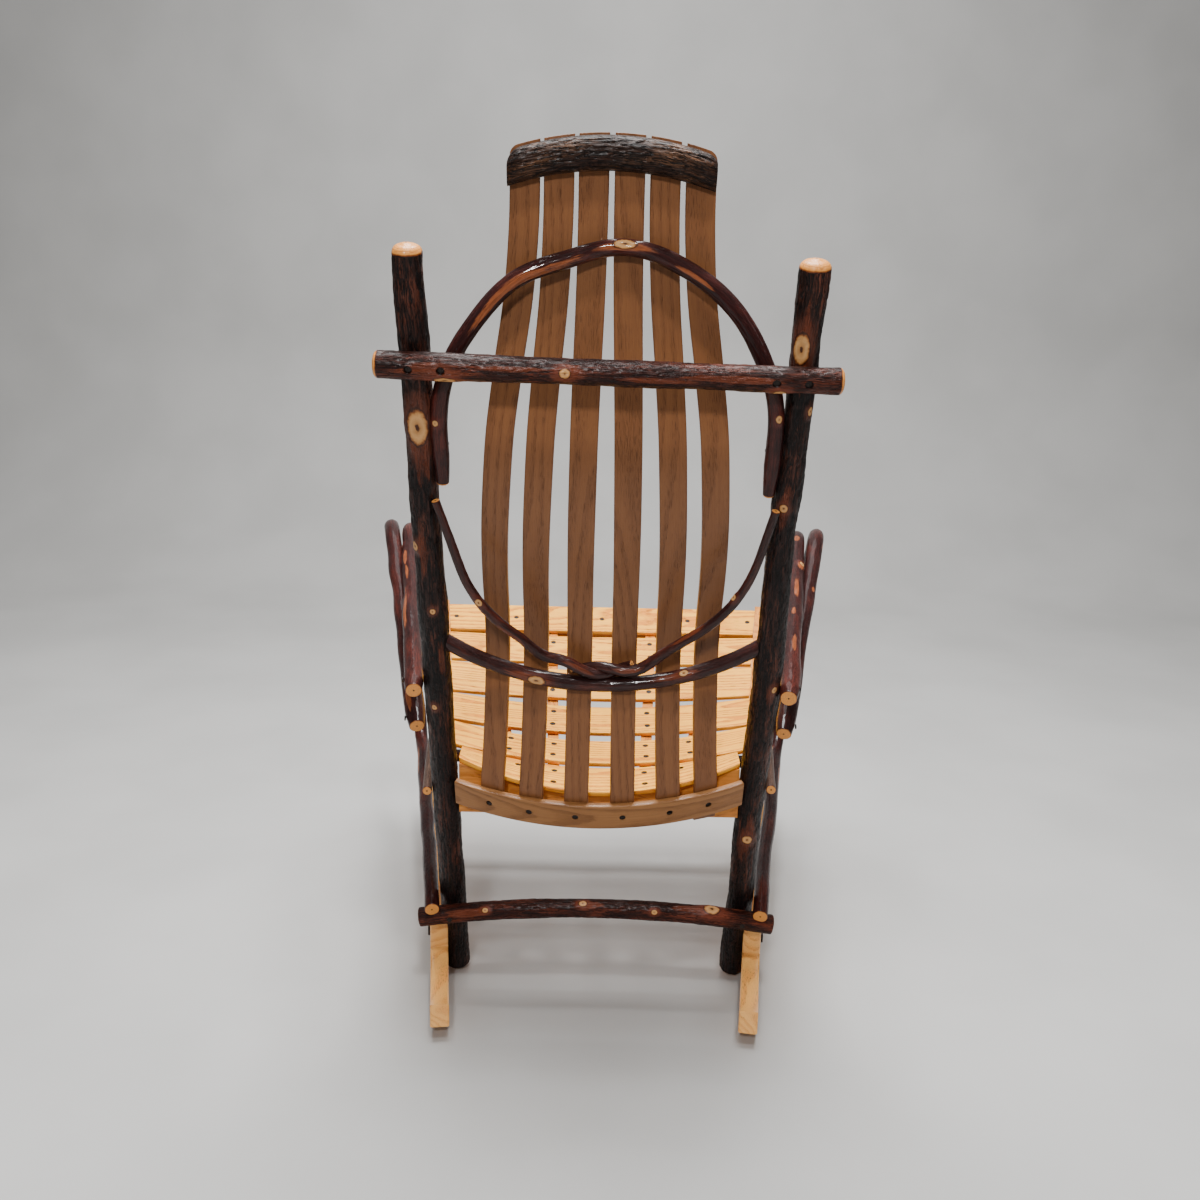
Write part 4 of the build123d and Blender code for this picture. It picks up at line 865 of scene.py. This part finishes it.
# ---- back slats ----------------------------------------------------------------------------------
# Six steam-bent oak slats that fan out from the top: they swell toward the sitter at the lumbar,
# lean back above it, and at the foot follow the curve of the lower rail.
# Painted shade: the back slats are the same oak as the seat slats, coloured a darker brown for the
# shade their rear faces stand in.
back_oak = varnished("back_oak", oak,
                     {"Light": rgb(130, 84, 50), "Dark": rgb(104, 64, 38),
                      "Pore": rgb(84, 50, 26), "Rings": 15.0, "Contrast": 0.45},
                     {"Place": "unbent", "Pit_screw_and_shade": "pit_screw_and_shade"}, coat=0.15, coat_roughness=0.25,
                     relief=0.0003, specular=0.2)
slat_width, slat_thick, corner_r = 31.0, 8.0, 8.0
unbend_from, unbend_run = 540.0, 300.0
side_z = np.array((302, 345, 410, 475, 530, 580, 630, 672, 714, 758, 812, 880, 960, 1020, 1122.0))
side_y = np.array((238.5, 253.7, 258.0, 260.0, 258.5, 271, 294, 321, 345, 358.5, 366, 372, 379,
                   390, 408.2))
fan = np.array((140, 139.2, 135.5, 133, 132, 131.5, 131, 128.7, 125.5, 122, 117.5, 108.4, 96.5, 91,
                88.6))
fan_spread = ((-1, -1), (-0.645, -0.593), (-0.218, -0.19), (0.21, 0.217), (0.632, 0.611), (1, 1))
# the crest's plane on the backs of the slat tops: x runs along it, up follows the leaning slats
crest_height, crest_depth, crest_half, crest_arch = 36.0, 19.0, 107.0, 18.0
crest_mid_z, crest_slant = 1098.0, radians(0.65)
curve_r = (crest_half ** 2 + crest_arch ** 2) / (2 * crest_arch)
top_tilt = atan2(side_y[-1] - side_y[-2], side_z[-1] - side_z[-2])
crest_c = crest_mid_z - crest_arch
crest_origin = np.array((0, side_y[-2] + (crest_c - side_z[-2]) * tan(top_tilt) + clear, crest_c))
crest_x = np.array((cos(crest_slant), sin(crest_slant) * sin(top_tilt),
                    sin(crest_slant) * cos(top_tilt)))
crest_up = np.array((-sin(crest_slant), cos(crest_slant) * sin(top_tilt),
                     cos(crest_slant) * cos(top_tilt)))
crest_back = np.array((0, cos(top_tilt), -sin(top_tilt)))


def eased_through(x, y, at):
    """A smooth curve through the stations: cubic runs whose slope at a station is the weighted
    mean of its neighbours' slopes."""
    h, rise = np.diff(x), np.diff(y) / np.diff(x)
    slope = np.r_[rise[0], (rise[:-1] * h[1:] + rise[1:] * h[:-1]) / (h[1:] + h[:-1]), rise[-1]]
    i = np.clip(np.searchsorted(x, at) - 1, 0, len(h) - 1)
    t = (at - x[i]) / h[i]
    return ((1 + 2 * t) * (1 - t) ** 2 * y[i] + t * (1 - t) ** 2 * h[i] * slope[i]
            + t * t * (3 - 2 * t) * y[i + 1] + t * t * (t - 1) * h[i] * slope[i + 1])


# the face is turned square to the rail's arc at the foot and straightens toward the top
for n, (low, high) in enumerate(fan_spread):
    z_line = np.linspace(side_z[0], side_z[-1], 260)
    share = eased_through(side_z, np.linspace(low, high, len(side_z)), z_line)
    x_line = eased_through(side_z, fan, z_line) * share
    t = np.clip((z_line - unbend_from) / unbend_run, 0, 1)
    bend = 1 - t * t * (3 - 2 * t)
    sag = rail_radius - np.sqrt(rail_radius ** 2 - x_line ** 2)
    y_line = eased_through(side_z, side_y, z_line) - sag / lean_z * bend
    turn = np.arctan2(x_line, np.sqrt(rail_radius ** 2 - x_line ** 2) * lean_z) * bend
    spine = np.stack([x_line, y_line, z_line], 1)
    run = np.r_[0, np.cumsum(np.linalg.norm(np.diff(spine, axis=0), axis=1))]
    way = np.gradient(spine, run, axis=0)
    way = way / np.linalg.norm(way, axis=1)[:, None]
    flat_across = np.stack([np.cos(turn), -np.sin(turn), turn * 0], 1)
    face_way = np.cross(way, flat_across)
    face_way = face_way / np.linalg.norm(face_way, axis=1)[:, None]
    side_way = np.cross(face_way, way)

    def steam(s, u, v, spine=spine, run=run, face_way=face_way, side_way=side_way, n=n):
        """Along runs up the bent spine, across runs to its side, through is square to both. The
        top is sawn along the crest's upper edge, with the two outer corners rounded off."""
        end = spine[-1] + u[..., None] * side_way[-1] - crest_origin
        upper_r = curve_r + crest_height / 2
        saw = np.sqrt(upper_r ** 2 - (end @ crest_x) ** 2) + crest_arch - curve_r
        edge_gap = slat_width / 2 - u * np.sign(spine[-1, 0] * side_way[-1, 0])
        outer = np.clip(corner_r - edge_gap, 0, corner_r)
        saw = saw - (corner_r - np.sqrt(corner_r ** 2 - outer ** 2)) * (n in (0, 5))
        top = run[-1] + saw - end @ crest_up
        at = np.clip(s + run[-1] / 2, 0, run[-1])
        at = at - np.clip(at / run[-1] * 8 - 7, 0, 1) * (run[-1] - top)
        centre, out, wide = (np.stack([np.interp(at, run, a[:, k]) for k in range(3)], -1)
                             for a in (spine, face_way, side_way))
        return centre + u[..., None] * wide + v[..., None] * out

    slat = plank(f"back_slat_{n + 1}_bent", steam, run[-1] - 1.0, slat_width, slat_thick,
                 back_oak, 3300.0 + 1900.0 * n, steps=300)
    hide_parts(f"back_slat_{n + 1}")

# ---- lower back rail -----------------------------------------------------------------------------
# A flat oak board bent to an arc between the posts, with one dark screw through it into each slat.
rail_height, rail_thick, rail_end, rail_gap = 38.0, 9.0, 191.0, 3.2
rail_y, rail_z, end_lift, side_tilt = 244.5, 317.5, 9.4, 3.8
rail_oak = varnished("rail_oak", oak,
                     {"Light": rgb(156, 108, 64), "Dark": rgb(116, 74, 40),
                      "Pore": rgb(104, 62, 30), "Rings": 24.0, "Contrast": 0.65},
                     {"Place": "unbent", "Pit_screw_and_shade": "pit_screw_and_shade"}, coat=0.15, coat_roughness=0.18,
                     relief=0.0003, specular=0.15)
outer_radius = rail_radius + rail_thick


def bend_rail(s, u, v):
    """Along runs round the arc, across runs up the leaning back, through is toward its centre.
    The ends are sprung up by end_lift, and the whole rail leans up on the sitter's right."""
    angle = s / outer_radius
    x = (outer_radius + v) * np.sin(angle)
    back = (outer_radius + v) * np.cos(angle) - rail_radius
    u = u + end_lift * (x / rail_end) ** 2 - side_tilt * x / rail_end
    return np.stack([x, rail_y + back * norm_y + u * lean_y,
                     rail_z + back * norm_z + u * lean_z], -1)


rail_half = outer_radius * asin(rail_end / outer_radius) - rail_gap
rail_spots = [(outer_radius * asin(fan[0] * low / rail_radius), 0.0) for low, high in fan_spread]
lower_rail = plank("lower_back_rail_board", bend_rail, 2 * rail_half, rail_height, rail_thick,
                   rail_oak, 900.0, pits=rail_spots, pit_depth=2.4, steps=160, eased=1.5)
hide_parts("lower_back_rail")

# ---- crest ---------------------------------------------------------------------------------------
# A half log, bark outward, bent to a low arch; its flat face is screwed to the slat tops.
crest_bark = varnished("crest_bark", bark,
                       {"Furrows": 300.0, "Depth": 1.0, "Worn": -0.3, "Plate": rgb(54, 32, 22),
                        "Crest": rgb(118, 80, 54), "Furrow": rgb(9, 5, 4),
                        "Inner": rgb(96, 50, 28)},
                       stick_fields, coat=0.12, coat_roughness=0.25, relief=0.0013, specular=0.12)
right_trim, left_trim, top_trim, shoulder_r = 3.4, 0.6, 0.12, 13.0
draw = np.random.default_rng(150)
x_line = np.linspace(-crest_half + right_trim, crest_half - left_trim, 260)
middle = np.sqrt(curve_r ** 2 - x_line ** 2) - (curve_r - crest_arch)
a = np.r_[np.linspace(0, pi, 70), pi + np.linspace(0, 1, 14)[1:-1] * pi]
round_over = np.clip((crest_half - np.abs(x_line)) / shoulder_r, 0, 1)
shoulder = 1 - np.sqrt(np.clip(1 - (1 - round_over) ** 2, 0, 1))
half_h = crest_height / 2
dent = 0.9 * np.clip(1 - np.abs(ripple(draw, x_line, a, 50, 26, 30)) / 0.3, 0, 1)
dent = dent - 0.35 * ripple(draw, x_line, a, 40, 22, 14)
bulge = np.where(a <= pi, np.abs(np.sin(a)) ** 0.62, 0)
height = np.where(a <= pi, np.cos(a), -np.cos(a - pi))
out = crest_depth * bulge[None] - dent * (bulge[None] > 0.25)
out = out * (1 - 0.35 * shoulder[:, None])
tall = half_h * height[None] * (1 - top_trim * (height[None] > 0))
tall = tall - shoulder[:, None] * shoulder_r * np.clip(height[None], 0, 1)
rows = (crest_origin + x_line[:, None, None] * crest_x
        + (middle[:, None] + tall)[..., None] * crest_up + out[..., None] * crest_back)
flat = np.stack([tall, out, np.broadcast_to(x_line[:, None], out.shape) + 5100.0], -1)
blank = np.zeros(out.shape)
crest = surface("crest_half_log", rows, None,
                {"unbent": (flat, None), "knot": (blank + 9, None), "peel": (blank, None),
                 "pit_screw_and_shade": (blank, None), "core": (blank + 0.5, None)},
                [crest_bark], crease=60)
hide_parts("crest")

# ---- cross bar -----------------------------------------------------------------------------------
# A straight rough pole behind the posts near their tops; screws sunk in it hold posts and hoop.
bar_r, bar_half, bar_z, bar_dome = 13.75, 241.5, 892.0, 6.0
bar_off = post_r + bar_r + clear
bar_mid = np.array((0, post_y(bar_z) + bar_off * norm_y, bar_z + bar_off * norm_z))
bar_slant = radians(0.95)
bar_way = np.array((cos(bar_slant), sin(bar_slant) * lean_y, sin(bar_slant) * lean_z))
bar_run = bar_half - bar_dome - 0.2
screw_r, screw_deep, hoop_screw_in = 3.75, 4.2, 33.0
bar_spots = [(bar_run + s * x, 0, screw_r, screw_deep)
             for x in (post_x, post_x - hoop_screw_in) for s in (1, -1)]
line = bent_line([bar_mid - bar_run * bar_way, bar_mid + bar_run * bar_way], step=0.9)
bar = stick("cross_bar_pole", line, (0, norm_y, norm_z), bar_r, rough_bark, 160, relief=0.6,
            sway=0.0, knots=[(402, -50, 13, 6, 0.9), (280, 10, 6.5, 6, 0.8), (60, -60, 8, 6)],
            peels=[(275, 5, 26, 13), (410, 20, 40, 6), (420, -5, 60, 4), (330, 20, 50, 4),
                   (190, -10, 60, 4), (100, 10, 60, 5)],
            pits=bar_spots, ends=("domed", "domed"), dome=bar_dome)
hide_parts("cross_bar")

# ---- back hoop -----------------------------------------------------------------------------------
# A sapling bent to an arch: its legs stand inside the posts and its crown lies on the slats.
hoop_r = 9.75
leg_x = post_x - post_r - hoop_r - clear
leg_off = bar_off - bar_r - hoop_r - clear


def hoop_leg(z):
    """The middle of the left leg at height z: it leans with the post and lies before the bar."""
    return (leg_x, post_y(z - leg_off * norm_z) + leg_off * norm_y, z)


def free_curve(points, step=1.5):
    """The smooth curve through the points, read off at even steps: cubic runs over the chord
    length that agree in slope and curvature, straight at both ends."""
    p = np.array(points, float)
    at = np.r_[0, np.cumsum(np.linalg.norm(np.diff(p, axis=0), axis=1))]
    h, n = np.diff(at)[:, None], len(p)
    rule, target = np.eye(n), np.zeros(p.shape)
    target[0], target[-1] = (p[1] - p[0]) / h[0], (p[-1] - p[-2]) / h[-1]
    for i in range(1, n - 1):
        a, b = h[i - 1, 0], h[i, 0]
        rule[i, i - 1:i + 2] = b, 2 * (a + b), a
        target[i] = 3 * (b * (p[i] - p[i - 1]) / a + a * (p[i + 1] - p[i]) / b)
    slope = np.linalg.solve(rule, target)
    t = np.linspace(0, 1, 30)[:-1, None, None]
    line = ((1 + 2 * t) * (1 - t) ** 2 * p[:-1] + t * (1 - t) ** 2 * h * slope[:-1]
            + t * t * (3 - 2 * t) * p[1:] + t * t * (t - 1) * h * slope[1:])
    line = np.vstack([line.transpose(1, 0, 2).reshape(-1, 3), p[-1:]])
    s = np.r_[0, np.cumsum(np.linalg.norm(np.diff(line, axis=0), axis=1))]
    even = np.linspace(0, s[-1], int(s[-1] / step) + 1)
    return np.stack([np.interp(even, s, line[:, k]) for k in range(3)], 1)


# the crown, bent by hand and lopsided: (x, z) from the sitter's right shoulder to the left one
crown = ((-158, 903), (-138, 936), (-105, 969), (-67, 992), (-36, 1004), (0, 1006.5), (50, 992.5),
         (93, 976), (139, 930), (161, 896))
crown_y, crown_back, crown_from, crown_rise = 404.5, 6.2, 930.0, 76.5
left_foot, right_foot, leg_top, foot_out, top_out = 758.3, 752.0, 850.0, 4.6, 1.4
legs = np.array([hoop_leg(left_foot), hoop_leg(leg_top)])
legs[:, 0] += (foot_out, top_out)
right_leg = [(-legs[0, 0], *hoop_leg(right_foot)[1:]), legs[1] * (-1, 1, 1)]
arch = [(x, crown_y - crown_back * ((z - crown_from) / crown_rise) ** 2, z) for x, z in crown]
line = free_curve(np.vstack([right_leg, arch, legs[::-1]]))
back_hoop = stick("back_hoop_sapling", line, (0, norm_y, norm_z), hoop_r, smooth_bark, 170,
                  relief=0.22, sway=0.7, around=64,
                  knots=[(348, 38, 13, 6, 1.2), (92, 12, 5, 4.5, 0.8), (640, 16, 4, 4)],
                  peels=[(348, 20, 40, 6), (470, 0, 90, 7), (270, 0, 30, 3)],
                  girth=((0, 0.74), (0.045, 0.95), (0.3, 0.96), (0.7, 0.96), (0.955, 0.95),
                         (1, 0.74)),
                  ends=("domed", "domed"), dome=4.0)
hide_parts("back_hoop")

# ---- lumbar bow and twisted sticks ---------------------------------------------------------------
# The bow springs between the posts behind the slats. Two finger-thin sticks come down from the
# posts and are twisted about each other on the slats above it.
dark_bark = varnished("dark_bark", bark,
                      {"Furrows": 330.0, "Depth": 0.5, "Worn": -0.05, "Plate": rgb(52, 20, 16),
                       "Crest": rgb(88, 38, 26), "Furrow": rgb(14, 6, 6),
                       "Inner": rgb(108, 52, 30)},
                      stick_fields, coat=0.4, coat_roughness=0.12, relief=0.0005, specular=0.12)
bow_r, bow_end_z, bow_low_z, lumbar_y = 9.5, 557.5, 499.5, 260.0
bow_half, bow_y = post_x - post_r + 9, post_y(556.0)
line = arc_through((-bow_half, bow_y, bow_end_z), (0, lumbar_y + bow_r + clear, bow_low_z),
                   (bow_half, bow_y, bow_end_z), 300)
bow = stick("lumbar_bow_sapling", line, (0, norm_y, norm_z), bow_r, dark_bark, 180, relief=0.2,
            sway=0.0, knots=[(287, 4, 12, 6.5, 1.2), (103, 55, 7, 4.5, 0.8)],
            peels=[(300, 10, 45, 6), (110, 40, 40, 6)], around=64)
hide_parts("lumbar_bow")

twist_r, twist_y, twist_z = 5.5, lumbar_y + clear + 12.0, 518.5
wind_r, wind_pitch, wind_from, twist_end, twist_ease = 4.4, 88.0, 22.0, 104.0, 54.0
back_curve, up_curve = 0.0028, 0.004
stick_bends = {"left": ((188.0, 364.0, 736.0), (150.0, 323.0, 607.0), (40.0, twist_y, 517.0)),
               "right": ((188.3, 364.0, 732.5), (162.0, 323.0, 612.0), (40.0, twist_y, 521.0))}
for sgn, side in ((1, "left"), (-1, "right")):
    free = bent_line(np.array(stick_bends[side] + ((-36.0, twist_y, 517.0),)) * (sgn, 1, 1),
                     [190.0, 90.0], ease=40)
    # inside the twist the two sticks wind about their common line, half a turn apart
    wound = np.clip((twist_end - free[:, 0] * sgn) / twist_ease, 0, 1)
    wound = wound * wound * (3 - 2 * wound)
    angle = 2 * pi * (free[:, 0] - wind_from) / wind_pitch + (0 if sgn > 0 else pi)
    common_y = twist_y + back_curve * free[:, 0] ** 2
    common_z = twist_z + up_curve * free[:, 0] ** 2
    free[:, 1] = free[:, 1] * (1 - wound) + (common_y + wind_r * np.cos(angle)) * wound
    free[:, 2] = free[:, 2] * (1 - wound) + (common_z + wind_r * np.sin(angle)) * wound
    twig = stick(f"lumbar_stick_{side}_twig", free, (0, 1, 0.2), twist_r, dark_bark,
                 190 + sgn, relief=0.35, sway=0.5, around=48,
                 knots=[(134, 8, 6, 4, 0.9)] if sgn > 0 else [(120, 60, 5, 4)],
                 peels=[(200, 40, 30, 4), (290, 0, 30, 4)],
                 girth=((0, 0.88), (0.3, 1.0), (0.6, 1.15), (0.75, 1.3), (0.92, 1.25), (1, 0.9)))
    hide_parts(f"lumbar_stick_{side}")

# ---- studio --------------------------------------------------------------------------------------
# A pale floor that sweeps up into a backdrop, soft overhead light, and a camera behind the chair.
sweep = np.vstack([np.linspace((3.5, 0), (-2.2, 0), 20),
                   arc_through((-2.2, 0), (-2.9, 0.3), (-3.2, 1.0), 24)[1:],
                   np.linspace((-3.2, 1.0), (-3.2, 4.5), 8)[1:]])
backdrop = bpy.data.meshes.new("studio_floor")
grid = np.stack([np.broadcast_to(np.array([-4.5, 4.5])[None], (len(sweep), 2)),
                 np.repeat(sweep[:, :1], 2, 1), np.repeat(sweep[:, 1:], 2, 1)], -1)
i = np.arange(len(sweep) - 1)[:, None] * 2
backdrop.from_pydata(grid.reshape(-1, 3).tolist(), [], np.hstack([i, i + 1, i + 3, i + 2]).tolist())
backdrop.polygons.foreach_set("use_smooth", np.ones(len(backdrop.polygons), bool))
floor = bpy.data.objects.new("studio_floor", backdrop)
bpy.context.scene.collection.objects.link(floor)
paper = bpy.data.materials.new("studio_floor")
paper.use_nodes = True
tree = paper.node_tree
mottle = noise(tree, add(tree, "ShaderNodeTexCoord").outputs["Object"], 2.5, 4)
tone = mix(tree, ramp(tree, mottle, 0.3, 0.7), rgb(174, 173, 171), rgb(182, 181, 179))
tree.links.new(tone, tree.nodes["Principled BSDF"].inputs["Base Color"])
tree.nodes["Principled BSDF"].inputs["Roughness"].default_value = 0.7
backdrop.materials.append(paper)

world = bpy.data.worlds.new("studio")
bpy.context.scene.world = world
world.use_nodes = True
world.node_tree.nodes["Background"].inputs["Color"].default_value = (1.0, 0.98, 0.95, 1.0)
world.node_tree.nodes["Background"].inputs["Strength"].default_value = 0.12
for name, place, aim, size, power in (
        ("overhead", (0.0, 0.0, 3.1), (0, 0.0, 0.3), 1.5, 195.0),
        ("backdrop", (0.0, -2.0, 3.6), (0, -3.2, 0.8), 2.4, 50.0),
        ("behind", (0.25, 2.3, 1.70), (0, 0.2, 0.7), 0.16, 24.0),
        ("behind_high", (-0.2, 1.65, 2.9), (0, 0.2, 0.6), 0.2, 30.0),
        ("side", (-2.2, 1.6, 2.0), (0, 0.2, 0.6), 0.8, 4.0)):
    lamp = bpy.data.lights.new(name, "AREA")
    lamp.size, lamp.energy = size, power
    light = bpy.data.objects.new(name, lamp)
    bpy.context.scene.collection.objects.link(light)
    back = np.array(place) - np.array(aim)
    back = back / np.linalg.norm(back)
    right = np.cross((0, 1, 0), back)
    right = right / np.linalg.norm(right)
    upward = np.cross(back, right)
    light.matrix_world = Matrix([[right[r], upward[r], back[r], place[r]] for r in range(3)]
                                + [[0, 0, 0, 1]])

# the camera stands behind the chair at back height, tilted down by pitch and turned by roll
camera_x, camera_y, camera_z, pitch, roll = 0.004, 1.606, 0.915, radians(13.0), radians(1.25)
lens = bpy.data.cameras.new("camera")
lens.lens, lens.sensor_width, lens.sensor_fit = 33.9, 36.0, "HORIZONTAL"
camera = bpy.data.objects.new("camera", lens)
bpy.context.scene.collection.objects.link(camera)
c, s = cos(roll), sin(roll)
camera.matrix_world = Matrix(((-c, s, 0, camera_x),
                              (-s * sin(pitch), -c * sin(pitch), cos(pitch), camera_y),
                              (s * cos(pitch), c * cos(pitch), sin(pitch), camera_z),
                              (0, 0, 0, 1)))
bpy.context.scene.camera = camera
